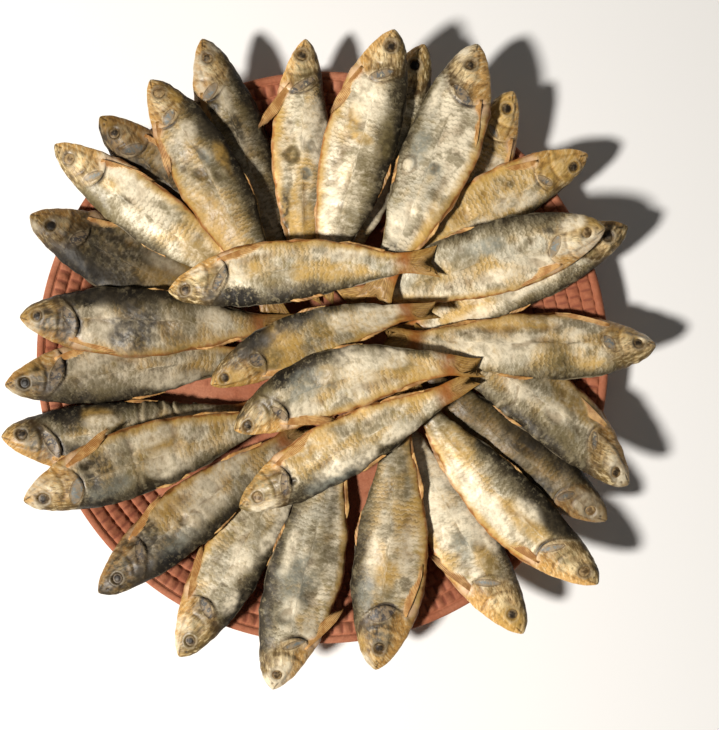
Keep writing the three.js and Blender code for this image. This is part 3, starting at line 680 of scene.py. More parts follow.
def gill_relief(fish, along, up, flank, behind):
    """The gill cover's raised edge, the slit behind it and its sunken mirror, and how far inside the
    mirror's outline and how near its middle each place is."""
    above_mirror = up - fish.mirror_up
    near = hump(above_mirror + GILL_DROP, fish.mirror_half * MIRROR_LONGER)
    on_head = step(COVER_EDGE_BLUR, -COVER_EDGE_BLUR, behind)
    cover = COVER_RISE + COVER_RISE_AT_MIRROR * near
    cover = cover * np.exp(np.minimum(behind, 0) / COVER_SLOPE) * on_head
    notch = NOTCH_DEPTH + (NOTCH_DEPTH_AT_MIRROR + SLIT_DEPTH * fish.slit) * near
    notch = notch * np.exp(-np.maximum(behind, 0) / NOTCH_WIDTH) * (1 - on_head)
    before_mirror = along - fish.gill_along + MIRROR_BEFORE_EDGE
    down_mirror = before_mirror * math.sin(MIRROR_TILT) - above_mirror * math.cos(MIRROR_TILT)
    over_mirror = before_mirror * math.cos(MIRROR_TILT) + above_mirror * math.sin(MIRROR_TILT)
    from_middle = np.minimum(np.abs(down_mirror) / (fish.mirror_half * MIRROR_LONGER), 1)
    half_width = fish.mirror_width * MIRROR_WIDER / 2 * (1 - from_middle ** 2.2) ** 0.7
    mirror_edge = half_width - np.abs(over_mirror) - 4 * (from_middle >= 1)
    height = (cover - notch) * flank - MIRROR_DEPTH * step(-0.2, 0.8, mirror_edge)
    return height, mirror_edge, near


def head_relief(fish, along, up, across, behind):
    """The bones of the head, in mm off the smooth body, and the marks that its colours follow."""
    size = fish.gill_along / FULL_HEAD
    flank = step(1.0, 0.75, across) * step(-1.0, -0.85, across)
    height, mirror_edge, near = gill_relief(fish, along, up, flank, behind)

    skull = step(COVER_EDGE_BLUR, -COVER_EDGE_BLUR, behind) * step(1.5, 5, along)
    fold_up = JAW_FOLD_DOWN - JAW_FOLD_SLOPE * along / size + JAW_FOLD_CURVE * (along / size) ** 2
    to_fold = up - fold_up
    on_fold = skull * step(-1, -4, behind) * flank
    height += on_fold * seam(to_fold, *JAW_SEAM)
    height -= on_fold * JAW_SINK * step(0, -1.5, to_fold)
    to_cheek = np.hypot(along - CHEEK_ALONG * size, up + CHEEK_DOWN)
    height += skull * CHEEK_RISE * hump(to_cheek, CHEEK_RADIUS)
    to_plate = along - BONE_PLATE_ALONG * size + BONE_PLATE_CURVE * (up + 2) ** 2
    on_plate = step(5, 3, up)
    height += skull * flank * on_plate * seam(to_plate, *PLATE_SEAM)
    behind_eye = (along - fish.eye_along - HOLLOW_BEHIND_EYE) / HOLLOW_STRETCH
    to_hollow = np.hypot(behind_eye, up - fish.eye_up - HOLLOW_ABOVE_EYE)
    height -= skull * HOLLOW_DEPTH * hump(to_hollow, HOLLOW_RADIUS)
    crown = skull * step(0.45, 0.75, across)
    height += CROWN_RIDGE_RISE * crown * np.sin(up * 2 * math.pi / CROWN_RIDGE_WIDTH)
    seed = SEEDS_PER_FISH * fish.number
    bony = sum(
        high * waves(along, up * squeeze, long, seed + own_seed)
        for high, long, squeeze, own_seed in HEAD_WAVES)
    height += skull * bony

    from_eye = np.hypot(along - fish.eye_along, up - fish.eye_up)
    socket = np.sqrt(np.maximum(1 - (from_eye / SOCKET_RADIUS) ** 2, 0))
    height *= step(SOCKET_RADIUS * 0.8, SOCKET_RADIUS * 1.2, from_eye)
    height += SOCKET_RIM_RISE * hump(from_eye - SOCKET_RIM_RADIUS, SOCKET_RIM_WIDTH)
    height -= (SOCKET_DEPTH + BLACK_SOCKET_DEPTH * fish.eye_tone) * socket
    mouth = hump(up + MOUTH_DOWN + MOUTH_SLOPE * along, MOUTH_WIDTH) * step(5, 3, along)
    to_nostril = np.hypot(along - fish.eye_along * NOSTRIL_PLACE, up - fish.eye_up - NOSTRIL_UP)
    nostril = hump(to_nostril, NOSTRIL_RADIUS)
    height -= MOUTH_DEPTH * (mouth + nostril)
    plate_line = hump(to_plate, 0.7) * on_plate
    fold_lines = on_fold * np.maximum(hump(to_fold, 0.6), plate_line)
    beyond_mirror = np.maximum(np.abs(up - fish.mirror_up + GILL_DROP) - fish.mirror_half * 0.7, 0)
    marks = {
        "behind_gill": behind,
        "head_edge": behind / (0.3 + 0.5 * beyond_mirror),
        "cheek_highlight": skull * hump(to_cheek, 4),
        "mirror_edge": mirror_edge,
        "beside_mirror": near,
        "eye_far": from_eye,
        "cracks": np.maximum(mouth, nostril) + 0.25 * fold_lines,
    }
    return height, marks


def flank_relief(fish, along, up, across, side, other, body):
    """The shrunken flank: soft hollows, wrinkles, and the dents, lumps and creases of this fish, in mm."""
    seed = SEEDS_PER_FISH * fish.number
    height = np.zeros_like(along)
    for high, long, squeeze, own_seed in FLANK_WAVES:
        height += body * high * waves(along, other * squeeze, long, seed + own_seed)
    hollow = BELLY_HOLLOW_DEPTH + BELLY_HOLLOW_CHANGE * waves(along, other, BELLY_HOLLOW_LENGTH, seed + 7)
    height -= body * hollow * hump(across + 0.5, 0.25)
    height += GRAIN_RISE * waves(along, other, GRAIN_LENGTH, seed + 6) * step(1, 5, along)
    ragged = step(0.8, 1.0, np.abs(across)) * body
    height += ragged * (0.3 * waves(along, 20 * side, 11, seed + 8) + 0.1 * waves(along, 0, 4, seed + 9))
    marks = {kind + "_spot": np.zeros_like(along) for kind in BLOTCH_KINDS + ("dent",)}
    loose = waves(along, other, 11, seed + 5)
    blotches = [(kind, *row) for kind, rows in BLOTCHES[fish.name].items() for row in rows]
    for kind, blotch_along, blotch_up, long, high in blotches:
        for face in (1, -1):
            here = side == face
            dx = along - blotch_along - (0 if face > 0 else OTHER_SIDE_SHIFT)
            dy = up - blotch_up * face
            if kind == "crease":
                off_crease = dx + CREASE_WANDER * loose
                height -= here * body * high * hump(off_crease, long)
                height += here * body * high * CREASE_LIP * hump(off_crease - 2.2 * long, long * 1.2)
                continue
            if kind in BLOTCH_KINDS:
                far = np.hypot(dx / long, dy / high) + BLOTCH_FRAYING * loose
                spot = step(1.25, 0.45, far)
            else:
                far = np.hypot(dx, dy * 1.15) * (1 + DENT_FRAYING * loose)
                lump = high * DENT_SHARE * (step(1.15, 0.3, far / long) - DENT_LIP * hump(far - long, 0.9))
                height += here * lump * (-1 if kind == "dent" else 1)
                spot = step(1.1, 0.5, far / long)
            if kind != "lump":
                marks[kind + "_spot"] = np.maximum(marks[kind + "_spot"], here * spot)
    return height, marks


def relief(fish, place, across, side, girth):
    """How far the real skin stands off the smooth body, in mm, and the marks that its colours follow."""
    along = place * fish.length
    edge = edge_there(fish, place, across)
    up = across * edge
    behind = along - fish.gill_along + (up - fish.mirror_up + GILL_DROP) ** 2 / (2 * GILL_RADIUS)
    body = step(0, 6, behind) * step(0.93, 0.82, place)
    height, marks = head_relief(fish, along, up, across, behind)
    other = girth + OTHER_SIDE * (side < 0)
    flank_height, flank_marks = flank_relief(fish, along, up, across, side, other, body)
    height = height + flank_height
    rays = step(PEDUNCLE, 0.93, place) * step(1.0, 0.85, np.abs(across))
    height += TAIL_RAY_RISE * rays * np.sin(across * 2 * math.pi * TAIL_RAYS)
    height *= step(0.0, 0.03, place)
    nape_along = fish.gill_along + NAPE_BEHIND_GILL
    nape_up = along_body(BACK_EDGE, nape_along / fish.length) * fish.depth
    to_nape = np.hypot((along - nape_along) / NAPE_LENGTH, (up - nape_up) / NAPE_HEIGHT)
    throat_along = (along - fish.gill_along + THROAT_BEFORE_GILL) / THROAT_LENGTH
    to_throat = np.hypot(throat_along, (up + THROAT_DOWN * edge) / THROAT_HEIGHT)
    to_keel = np.where(across < 0, (across + 1) * edge, 20)
    marks.update(flank_marks)
    marks.update({
        "back_share": (across + 1) / 2 - BACK_FADE * step(0.4, 0.8, place),
        "nape_share": fish.nape * step(1.2, 0.35, to_nape),
        "throat_share": step(1.2, 0.4, to_throat) * (across < 0),
        "to_belly": to_keel + 20 * step(0.16, 0.1, place),
        "tail_share": step(0.8, 0.93, place),
        "root_share": hump(place - PEDUNCLE, 0.035),
        "ridge_share": np.clip(0.5 + (height - evened(height, 3)) / 0.5, 0, 1),
    })
    return height, marks


def body_grid(fish):
    place = np.concatenate([
        np.linspace(0.004, HEAD_END, HEAD_RINGS, endpoint=False),
        np.linspace(HEAD_END, TAIL_START, BODY_RINGS, endpoint=False),
        np.linspace(TAIL_START, 1, TAIL_RINGS)])
    upper = np.linspace(0, math.pi, UPPER_POINTS, endpoint=False)
    lower = math.pi + np.linspace(0, math.pi, LOWER_POINTS, endpoint=False)
    turn = np.concatenate([upper, lower]) * fish.belly
    return np.meshgrid(place, turn, indexing="ij")


def closed_faces(rows, columns):
    """The faces of a skin of rings, shut by one point at the nose and one at the tail."""
    nose = rows * columns
    last = nose - columns
    faces = []
    for k in range(columns):
        after = (k + 1) % columns
        for low in range(0, last, columns):
            faces.append((low + k, low + after, low + columns + after, low + columns + k))
        faces.append((nose, after, k))
        faces.append((nose + 1, last + k, last + after))
    return faces


def body_mesh(fish):
    place, turn = body_grid(fish)
    points = skin_points(fish, place, turn)
    across = np.cos(turn)
    side = np.where(np.sin(turn) * fish.belly > 1e-9, 1, -1)
    girth = (1 - across) * edge_there(fish, place, across)
    lengthwise = np.gradient(points, axis=0)
    crosswise = np.roll(points, -1, axis=1) - np.roll(points, 1, axis=1)
    normal = np.cross(lengthwise, crosswise) * fish.belly
    normal /= np.maximum(np.linalg.norm(normal, axis=2, keepdims=True), 1e-9)
    height, marks = relief(fish, place, across, side, girth)
    ragged = waves(across * TAIL_FRAYS, place * 0, 3, 90 + fish.number) * step(0.95, 1, place)
    points = points + normal * height[..., None]
    points[..., 0] += TAIL_FRAYING * ragged * (1 - np.abs(across) ** 3)
    skin_along = place * fish.length + SKIN_SHIFT * fish.number
    marks["skin_place"] = np.stack([skin_along, girth, SKIN_SIDE_SHIFT * side], axis=-1)
    nose = skin_points(fish, np.array(0.0), np.array(0.0))
    nose[1] = 0
    flat = np.vstack([points.reshape(-1, 3), nose, points[-1].mean(0)])
    ends = {}
    for name, values in marks.items():
        values = values.reshape(len(flat) - 2, -1)
        values = np.vstack([values, values[:1], values[-1:]])
        ends[name] = values if values.shape[1] == 3 else values[:, 0]
    return flat, facing_out(flat, closed_faces(*place.shape)), ends


# Skin: silver and cream flanks in fine rows of scales, gold and brown where salt and oil have stained them,
# blue-black backs, and tan heads with a silvery mirror at the edge of the gill cover
TAIL_STRIPES = 14
SCALE_LENGTH = 2.0
SCALE_WIDTH = 1.05
SCALE_CURVE = 0.16
SCALE_WANDER_NOISE = (0.12, 2.0, 0.5)
SCALE_WANDER_ALONG = 5.0
SCALE_WANDER_ACROSS = 4.0
TAIL_COVER = 0.92
THROAT_COVER = 0.8
MIRROR_COVER = 0.9
GOLD_HEAD_COVER = 0.5
SKIN_WRINKLES = (0.001, 0.18)
SKIN_GRAIN = (0.0003, 0.07)
SKIN_SCALES = (0.00028, 0.48)
CREAM = (0.63, 0.475, 0.20, 1)
SILVER = (0.40, 0.345, 0.215, 1)
WHITE = (0.95, 0.855, 0.655, 1)
PEARL = (0.60, 0.51, 0.40, 1)
BLUE_GREY = (0.265, 0.275, 0.235, 1)
GOLD = (0.60, 0.375, 0.095, 1)
OCHRE = (0.30, 0.150, 0.030, 1)
RUST = (0.36, 0.115, 0.020, 1)
TAIL_GOLD = (0.46, 0.270, 0.072, 1)
OLIVE_GREY = (0.165, 0.128, 0.052, 1)
SCALE_SHADE = (0.165, 0.125, 0.06, 1)
BACK_GREY = (0.048, 0.037, 0.021, 1)
BLACKISH = (0.008, 0.006, 0.004, 1)
HEAD_TAN = (0.44, 0.265, 0.088, 1)
HEAD_GOLD = (0.72, 0.445, 0.135, 1)
# Near-white tone of the painted highlights on the head and the mirror
HEAD_HIGHLIGHT = (0.95, 0.78, 0.46, 1)
HEAD_OLIVE = (0.20, 0.135, 0.042, 1)
HEAD_ORANGE = (0.74, 0.41, 0.115, 1)
HEAD_PALE = (0.70, 0.58, 0.38, 1)
HEAD_BROWN = (0.060, 0.034, 0.012, 1)
MIRROR_PALE = (0.33, 0.40, 0.42, 1)
MIRROR_WARM = (0.37, 0.27, 0.16, 1)
MIRROR_DARK = (0.060, 0.054, 0.058, 1)
# Bone-pale tone: a painted highlight on the ridges of the relief, and the bone outline of the mirror
BONE_AND_HIGHLIGHT = (0.78, 0.64, 0.42, 1)
THROAT_PINK = (0.82, 0.56, 0.36, 1)
SHADOW_BROWN = (0.014, 0.010, 0.007, 1)
HOLLOW_SHADE = (0.34, 0.25, 0.16, 1)
SPECKLE_SHADE = (0.42, 0.34, 0.24, 1)
PALE_FISH_SHADE = (0.96, 0.945, 0.92, 1)
DARK_FISH_SHADE = (0.17, 0.14, 0.10, 1)

# What the mesh says at each point of a skin, and what is the same all over one fish
SKIN_MARKS = (
    "back_share", "nape_share", "throat_share", "to_belly", "tail_share", "ridge_share", "behind_gill",
    "head_edge", "mirror_edge", "beside_mirror", "cheek_highlight", "root_share", "eye_far", "cracks", "dent_spot",
    "pale_spot", "gold_spot", "grey_spot", "blue_spot", "dark_spot")
FISH_TONES = ("gold", "dark", "pale", "back", "mirror_tone", "slit", "eye_tone")

# Noises over the skin, whose places are in mm: the scale of each, its detail and its roughness, and before
# them for the streaky ones how the skin is stretched along and across
SKIN_NOISES = {
    "broad": (0.045, 2.0, 0.5),
    "blotchy": (0.085, 2.0, 0.5),
    "patchy": (0.15, 3.0, 0.55),
    "spotty": (0.4, 3.0, 0.55),
    "speckled": (1.3, 3.0, 0.6),
}
STREAKY_NOISES = {
    "streaky": ((1.0, 0.38, 1.0), 0.55, 3.0, 0.6),
    "head_streaks": ((0.35, 1.0, 1.0), 0.8, 4.0, 0.65),
}

# Sums of fields: how much of each goes in, and the number it starts from
SKIN_SUMS = {
    "paleness": ({"patchy": 1.0, "streaky": 0.3, "pale": 0.3}, 0.0),
    "blueness": ({"broad": 1.0, "back_share": 0.3}, 0.0),
    "goldness": ({"blotchy": 1.0, "gold": 0.26}, 0.0),
    "greyness": ({"patchy": 1.0, "blotchy": -1.0}, 0.0),
    "darkness": (
        {"back_share": 1.0, "blotchy": 0.5, "speckled": 0.22, "back": 0.36, "scales": 0.06}, -0.385),
    "nape": ({"nape_share": 1.0, "speckled": 1.3}, -0.65),
    "flecks": ({"spotty": 0.6, "speckled": 0.4}, 0.0),
    "above_belly": ({"to_belly": 1.0, "spotty": 3.0}, 0.0),
    "head_join": ({"head_edge": 1.0, "spotty": 3.0}, -1.5),
    "head_height": ({"back_share": 1.0, "spotty": 0.6}, -0.3),
    "head_paleness": ({"pale": 0.7, "gold": -0.35}, 0.0),
    "mirror_shade": ({"mirror_tone": 0.85}, 0.15),
    "slit_end": ({"slit": 2.2}, 0.7),
}

# What makes the skin rougher, and by how much
ROUGHER = {"mirrored": 0.04, "dark": 0.09, "nape_share": 0.09, "dull_back": 0.09}

# Ramps of fields, which coats are held within
SKIN_RAMPS = {
    "worn": ("blotchy", 0.3, 0.65, 0.15, 0.52),
    "on_back": ("darkness", 0.7, 1.0),
    "above_throat": ("back_share", 0.1, 0.4, 0.45, 1.0),
    "on_cover": ("behind_gill", -10.0, -3.0),
    "by_dark_mirror": ("mirror_tone", 0.1, 0.9, 0.4, 1.0),
    "high_on_cover": ("back_share", 0.12, 0.34, 0.15, 1.0),
    "by_mirror": ("mirror_edge", -0.9, -0.2),
    "past_rim": ("mirror_edge", -0.25, 0.1),
    "before_rim": ("mirror_edge", 0.55, 0.2),
    "slit_open": ("slit", 0.0, 0.6, 0.35, 1.0),
}

FLANK_COATS = (
    (PEARL, "streaky", (0.42, 0.58, 0, 0.4)),
    (WHITE, "paleness", (0.60, 0.82, 0, 0.95)),
    (BLUE_GREY, "blueness", (0.60, 0.78, 0, 0.55)),
    (GOLD, "goldness", (0.55, 0.78, 0, 0.85)),
    (OLIVE_GREY, "greyness", (0.03, 0.18, 0, 0.7)),
    (OLIVE_GREY, "streaky", (0.47, 0.34, 0, 0.35)),
    (SCALE_SHADE, "scales", (0.45, 0.95), "worn"),
    # Painted glints: white along each row of scales
    (WHITE, "scales", (0.45, 0.1, 0, 0.22)),
    (WHITE, "streaky", (0.55, 0.68, 0, 0.4)),
)
BACK_COATS = (
    (OLIVE_GREY, "darkness", (0.66, 1.0, 0, 0.75)),
    (BACK_GREY, "darkness", (0.81, 1.10, 0, 0.92)),
    (BLACKISH, "darkness", (0.97, 1.25, 0, 0.88)),
    (BACK_GREY, "nape", (0.2, 0.6, 0, 0.9)),
    (BLACKISH, "nape", (0.42, 0.85, 0, 0.92)),
    (SILVER, "flecks", (0.52, 0.60, 0, 0.4), "on_back"),
)
BELLY_COATS = (
    (OLIVE_GREY, "spotty", (0.35, 0.6, 0.25, 0.6), "dent_spot"),
    (GOLD, "above_belly", (6.6, 2.6, 0, 0.8)),
    (RUST, "above_belly", (3.0, 1.6, 0, 0.8)),
)
TAIL_ROOT_COATS = (
    (RUST, "patchy", (0.35, 0.6, 0.3, 0.9), "root_share"),
)
HEAD_COATS = (
    (HEAD_OLIVE, "blotchy", (0.45, 0.62, 0, 0.6)),
    (HEAD_ORANGE, "head_height", (0.46, 0.24, 0, 0.8)),
    (HEAD_OLIVE, "head_height", (0.60, 0.92, 0, 0.75)),
    (HEAD_BROWN, "head_height", (0.82, 1.12, 0, 0.7)),
    # Painted highlights: bright patches on the cheek, and pale streaks along the head
    (HEAD_HIGHLIGHT, "spotty", (0.42, 0.56, 0.3, 1.0), "cheek_highlight"),
    (HEAD_HIGHLIGHT, "head_streaks", (0.52, 0.60, 0, 0.6)),
    (HEAD_BROWN, "head_streaks", (0.48, 0.38, 0, 0.65), "above_throat"),
    (HEAD_BROWN, "spotty", (0.62, 0.44, 0.4, 0.95), "on_cover", "by_dark_mirror", "high_on_cover"),
    (HEAD_GOLD, "along", (8.0, 1.5, 0, 0.6)),
    (HEAD_BROWN, "eye_far", (4.4, 2.8, 0, 0.7)),
    (HEAD_BROWN, "speckled", (0.5, 0.70, 0, 0.3)),
)

# The blotches' coats are broken up by the spotty noise: the tone and how much of it shows at most
BLOTCH_TONES = {
    "gold_spot": (GOLD, 0.75),
    "grey_spot": (OLIVE_GREY, 0.7),
    "blue_spot": (BLUE_GREY, 0.8),
    "pale_spot": (WHITE, 0.85),
    "dark_spot": (BACK_GREY, 0.9),
}
BLOTCH_COATS = [
    (tone, "spotty", (0.36, 0.60, 0.45 * most, most), spot) for spot, (tone, most) in BLOTCH_TONES.items()]
# Painted highlight: paler on the ridges of the relief; then the pale bone outline of the mirror
RIDGE_HIGHLIGHT_AND_BONE_COATS = (
    (BONE_AND_HIGHLIGHT, "ridge_share", (0.55, 0.95, 0, 0.25)),
    (BONE_AND_HIGHLIGHT, "spotty", (0.42, 0.62, 0, 0.45), "by_mirror"),
)
# Painted shade: the skin is darker in its hollows, where the relief sinks below its surroundings
HOLLOW_COATS = (
    (HOLLOW_SHADE, "ridge_share", (0.5, 0.1, 0, 0.5)),
)
SPECKLE_COATS = (
    (SPECKLE_SHADE, "speckled", (0.5, 0.66, 0, 0.14)),
)
MIRROR_COATS = (
    (MIRROR_WARM, "spotty", (0.42, 0.56, 0, 0.75)),
    # Painted glints on the mirror
    (HEAD_HIGHLIGHT, "spotty", (0.40, 0.30, 0, 0.6)),
)
GILL_COATS = (
    (HEAD_BROWN, "spotty", (0.35, 0.6, 0.15, 0.65), "past_rim", "before_rim"),
    (SHADOW_BROWN, "behind_gill", (-0.15, 0.15), "slit_ahead", "beside_mirror", "slit_open"),
    (SHADOW_BROWN, "spotty", (0.35, 0.6, 0.2, 0.75), "cracks"),
)


def scale_rows(skin, place, axes):
    """Rows of scales across the body: how far each place is from its scale's root (0) to its edge (1)."""
    loose = skin.math("ADD", skin.noise(place, *SCALE_WANDER_NOISE), -0.5)
    along = skin.math("MULTIPLY_ADD", loose, SCALE_WANDER_ALONG, axes["X"])
    across = skin.math("MULTIPLY_ADD", loose, SCALE_WANDER_ACROSS, axes["Y"])
    every_other = skin.math("COSINE", skin.times(along, math.pi / SCALE_LENGTH))
    rounded = skin.math("COSINE", skin.times(across, math.pi / SCALE_WIDTH))
    curve = skin.times(skin.times(every_other, rounded), SCALE_CURVE)
    return skin.math("FRACT", skin.math("MULTIPLY_ADD", along, 1 / SCALE_LENGTH, curve))


def skin_fields(skin):
    """Every number that the coats of the skin follow, by name."""
    fields = {name: skin.mark(name) for name in SKIN_MARKS + FISH_TONES}
    place = skin.mark("skin_place", "Vector")
    for name, grain in SKIN_NOISES.items():
        fields[name] = skin.noise(place, *grain)
    for name, (stretch, *grain) in STREAKY_NOISES.items():
        stretched = skin.node("ShaderNodeVectorMath", {0: place, 1: stretch}, operation="MULTIPLY")
        fields[name] = skin.noise(stretched.outputs["Vector"], *grain)
    axes = skin.node("ShaderNodeSeparateXYZ", {0: place}).outputs
    fields["along"] = axes["X"]
    fields["scales"] = scale_rows(skin, place, axes)
    for name, (amounts, start) in SKIN_SUMS.items():
        fields[name] = skin.mixed(fields, amounts, start)
    for name, (field, *span) in SKIN_RAMPS.items():
        fields[name] = skin.ramp(fields[field], *span)
    fields["slit_ahead"] = skin.ramp(fields["behind_gill"], fields["slit_end"], 0.1)
    return fields


def tail_colour(skin, fields):
    colour = skin.over(skin.ramp(fields["spotty"], 0.35, 0.65), OCHRE, TAIL_GOLD)
    stripes = skin.math("SINE", skin.times(fields["back_share"], 2 * math.pi * TAIL_STRIPES))
    return skin.over(skin.ramp(stripes, 0.0, 1.0, 0, 0.42), colour, HEAD_BROWN)


def head_colour(skin, fields):
    colour = skin.over(skin.ramp(fields["patchy"], 0.40, 0.60), HEAD_TAN, HEAD_GOLD)
    colour = skin.over(skin.times(fields["gold"], GOLD_HEAD_COVER), colour, HEAD_ORANGE)
    colour = skin.over(fields["head_paleness"], colour, HEAD_PALE)
    return skin.coats(fields, colour, HEAD_COATS)


def mirror_colour(skin, fields):
    colour = skin.over(skin.ramp(fields["mirror_edge"], 0.2, 1.3), MIRROR_WARM, MIRROR_PALE)
    colour = skin.over(fields["mirror_shade"], colour, MIRROR_DARK)
    return skin.coats(fields, colour, MIRROR_COATS)


def skin_colour(skin, fields):
    """The body's own colours, then the tail, the head and the blotches over them, then painted shade in
    hollows, painted highlight on ridges, and the gill cover last with painted shadow in its slit and
    cracks."""
    colour = skin.over(skin.ramp(fields["broad"], 0.40, 0.60), SILVER, CREAM)
    colour = skin.coats(fields, colour, FLANK_COATS + BACK_COATS + BELLY_COATS)
    tail_share = skin.times(fields["tail_share"], TAIL_COVER)
    colour = skin.over(tail_share, colour, tail_colour(skin, fields))
    colour = skin.coats(fields, colour, TAIL_ROOT_COATS)
    off_nape = skin.ramp(fields["nape_share"], 0.15, 0.7, 1.0, 0.1)
    head_share = skin.times(skin.ramp(fields["head_join"], 1.0, -1.0), off_nape)
    colour = skin.over(head_share, colour, head_colour(skin, fields))
    colour = skin.coats(fields, colour, BLOTCH_COATS)
    colour = skin.over(skin.times(fields["throat_share"], THROAT_COVER), colour, THROAT_PINK)
    colour = skin.coats(fields, colour, HOLLOW_COATS, "MULTIPLY")
    colour = skin.coats(fields, colour, RIDGE_HIGHLIGHT_AND_BONE_COATS)
    mirror_share = skin.times(skin.ramp(fields["mirror_edge"], -0.3, 0.9), MIRROR_COVER)
    colour = skin.over(mirror_share, colour, mirror_colour(skin, fields))
    colour = skin.coats(fields, colour, GILL_COATS)
    colour = skin.coats(fields, colour, SPECKLE_COATS, "MULTIPLY")
    shade = skin.over(fields["dark"], PALE_FISH_SHADE, DARK_FISH_SHADE)
    return skin.over(1.0, colour, shade, "MULTIPLY")


def dried_skin():
    """The skin is a little duller on the mirror and where it is dark, and its scales stop at the head."""
    skin = Finish("dried_fish_skin", roughness=0.42, specular=0.28)
    fields = skin_fields(skin)
    skin.feed("Base Color", skin_colour(skin, fields))
    fields["mirrored"] = skin.ramp(fields["mirror_edge"], 0.0, 0.5)
    fields["dull_back"] = skin.ramp(fields["back_share"], 0.5, 0.9)
    patchy_shine = skin.ramp(fields["patchy"], 0.35, 0.65, 0.34, 0.54)
    skin.feed("Roughness", skin.mixed(fields, ROUGHER, patchy_shine))
    off_head = skin.ramp(fields["head_join"], -1.0, 1.0)
    silvered = skin.ramp(fields["patchy"], 0.4, 0.65, 0.0, 0.15)
    skin.feed("Metallic", skin.times(off_head, silvered))
    wrinkles = skin.bumped(fields["spotty"], *SKIN_WRINKLES)
    grain = skin.bumped(fields["speckled"], *SKIN_GRAIN, under=wrinkles)
    scale_height = skin.times(fields["scales"], off_head)
    skin.feed("Normal", skin.bumped(scale_height, *SKIN_SCALES, under=grain))
    return skin.material


# Eyes: one small dome of dried jelly in each socket, shrunken and sunk in as the fish dried. The black
# pupil is clouded over on most fish.
EYE_RADIUS = 2.45
EYE_RINGS = 9
EYE_POINTS = 24
EYE_SUNK = 0.02
BLACK_EYE_SUNK = 0.5
EYE_DOME = 0.4
EYE_NOISE = (520.0, 3.0, 0.6)
IRIS_RING_RISE = 0.1
IRIS_BROWN = (0.15, 0.088, 0.034, 1)
IRIS_TAN = (0.36, 0.245, 0.115, 1)
PUPIL_BROWN = (0.032, 0.022, 0.013, 1)
PUPIL_CLOUD = (0.17, 0.125, 0.075, 1)
EYE_RIM = (0.10, 0.06, 0.027, 1)
BLACK_COVER = 0.95
EYE_WRINKLES = (0.0004, 0.4)
EYE_BLACK = (0.008, 0.0065, 0.0055, 1)
EYE_GREY = (0.055, 0.048, 0.040, 1)


def eye_mesh(fish, side):
    place = fish.eye_along / fish.length
    across = fish.eye_up / edge_there(fish, place, fish.eye_up)
    turn = side * fish.belly * math.acos(across)
    here = skin_points(fish, np.array(place), np.array(turn))
    ahead = skin_points(fish, np.array(place + 0.01), np.array(turn))
    aside = skin_points(fish, np.array(place), np.array(turn + 0.05))
    along = (ahead - here) / np.linalg.norm(ahead - here)
    out = np.cross(along, aside - here)
    out *= side * np.sign(out[2]) / np.linalg.norm(out)
    across = np.cross(out, along)
    sunk_eye = EYE_SUNK + BLACK_EYE_SUNK * fish.eye_tone
    points, rings = [here - out * sunk_eye], [0.0]
    for ring in range(1, EYE_RINGS + 1):
        share = ring / EYE_RINGS
        for k in range(EYE_POINTS):
            angle = 2 * math.pi * k / EYE_POINTS
            sunk = sunk_eye + EYE_DOME * share ** 2.5 + IRIS_RING_RISE * hump(share - 0.6, 0.12)
            offset = along * math.cos(angle) + across * math.sin(angle)
            points.append(here + offset * share * EYE_RADIUS - out * sunk)
            rings.append(share)
    faces = []
    for k in range(EYE_POINTS):
        after = (k + 1) % EYE_POINTS
        faces.append((0, 1 + k, 1 + after))
        for ring in range(EYE_RINGS - 1):
            low, high = 1 + ring * EYE_POINTS, 1 + (ring + 1) * EYE_POINTS
            faces.append((low + k, high + k, high + after, low + after))
    return np.array(points), faces, {"eye_share": np.array(rings)}


def dried_eye():
    eye = Finish("dried_eye", roughness=0.45, specular=0.2)
    tone = eye.mark("eye_tone")
    cloudy = eye.noise(eye.place(), *EYE_NOISE)
    out = eye.math("MULTIPLY_ADD", cloudy, 0.9, eye.math("ADD", eye.mark("eye_share"), -0.45))
    iris = eye.over(eye.ramp(cloudy, 0.4, 0.62), IRIS_BROWN, IRIS_TAN)
    pupil = eye.over(eye.ramp(cloudy, 0.42, 0.66), PUPIL_BROWN, PUPIL_CLOUD)
    pupil = eye.over(eye.ramp(tone, 0.35, 0.0, 0, 0.75), pupil, iris)
    colour = eye.over(eye.ramp(out, 0.35, 0.75), pupil, iris)
    colour = eye.over(eye.ramp(out, 0.85, 1.1, 0, 0.45), colour, EYE_RIM)
    black = eye.over(eye.ramp(cloudy, 0.5, 0.7), EYE_BLACK, EYE_GREY)
    eye.feed("Base Color", eye.over(eye.times(tone, BLACK_COVER), colour, black))
    eye.feed("Normal", eye.bumped(cloudy, *EYE_WRINKLES))
    return eye.material


# Fins: thin brittle blades of rays, open at their ragged tips. The pectoral fin folds back from behind the
# gill cover, and low fins stand on the back and the belly.
FIN_ROOT_TURN = 0.74
FIN_ROOT_WIDTH = 1.4
FIN_HIDDEN_ROOT = 3
FIN_LENGTH = 21
FIN_WIDTH = 4.6
FIN_DROOP = 2
FIN_STEPS = 14
FIN_RAYS = 7
FIN_COLUMNS = FIN_RAYS * 4 + 1
FIN_RAY_RISE = 0.14
FIN_SUNK = 0.15
FIN_FORWARD = 0.3
FIN_RAGGEDNESS = 0.12
FIN_REAR_SHORTER = 0.22
FIN_TIP_NARROWER = 0.35
FIN_THICKNESS = 0.35
FIN_THINNING = 0.2
EDGE_FIN_STEPS = 5
EDGE_FIN_COLUMNS = 30
EDGE_FIN_ROOT = 0.6
EDGE_FIN_RAGGEDNESS = 0.35
EDGE_FIN_LEAN = 2.2
EDGE_FIN_THICKNESS = 0.3
EDGE_FIN_THINNING = 0.18

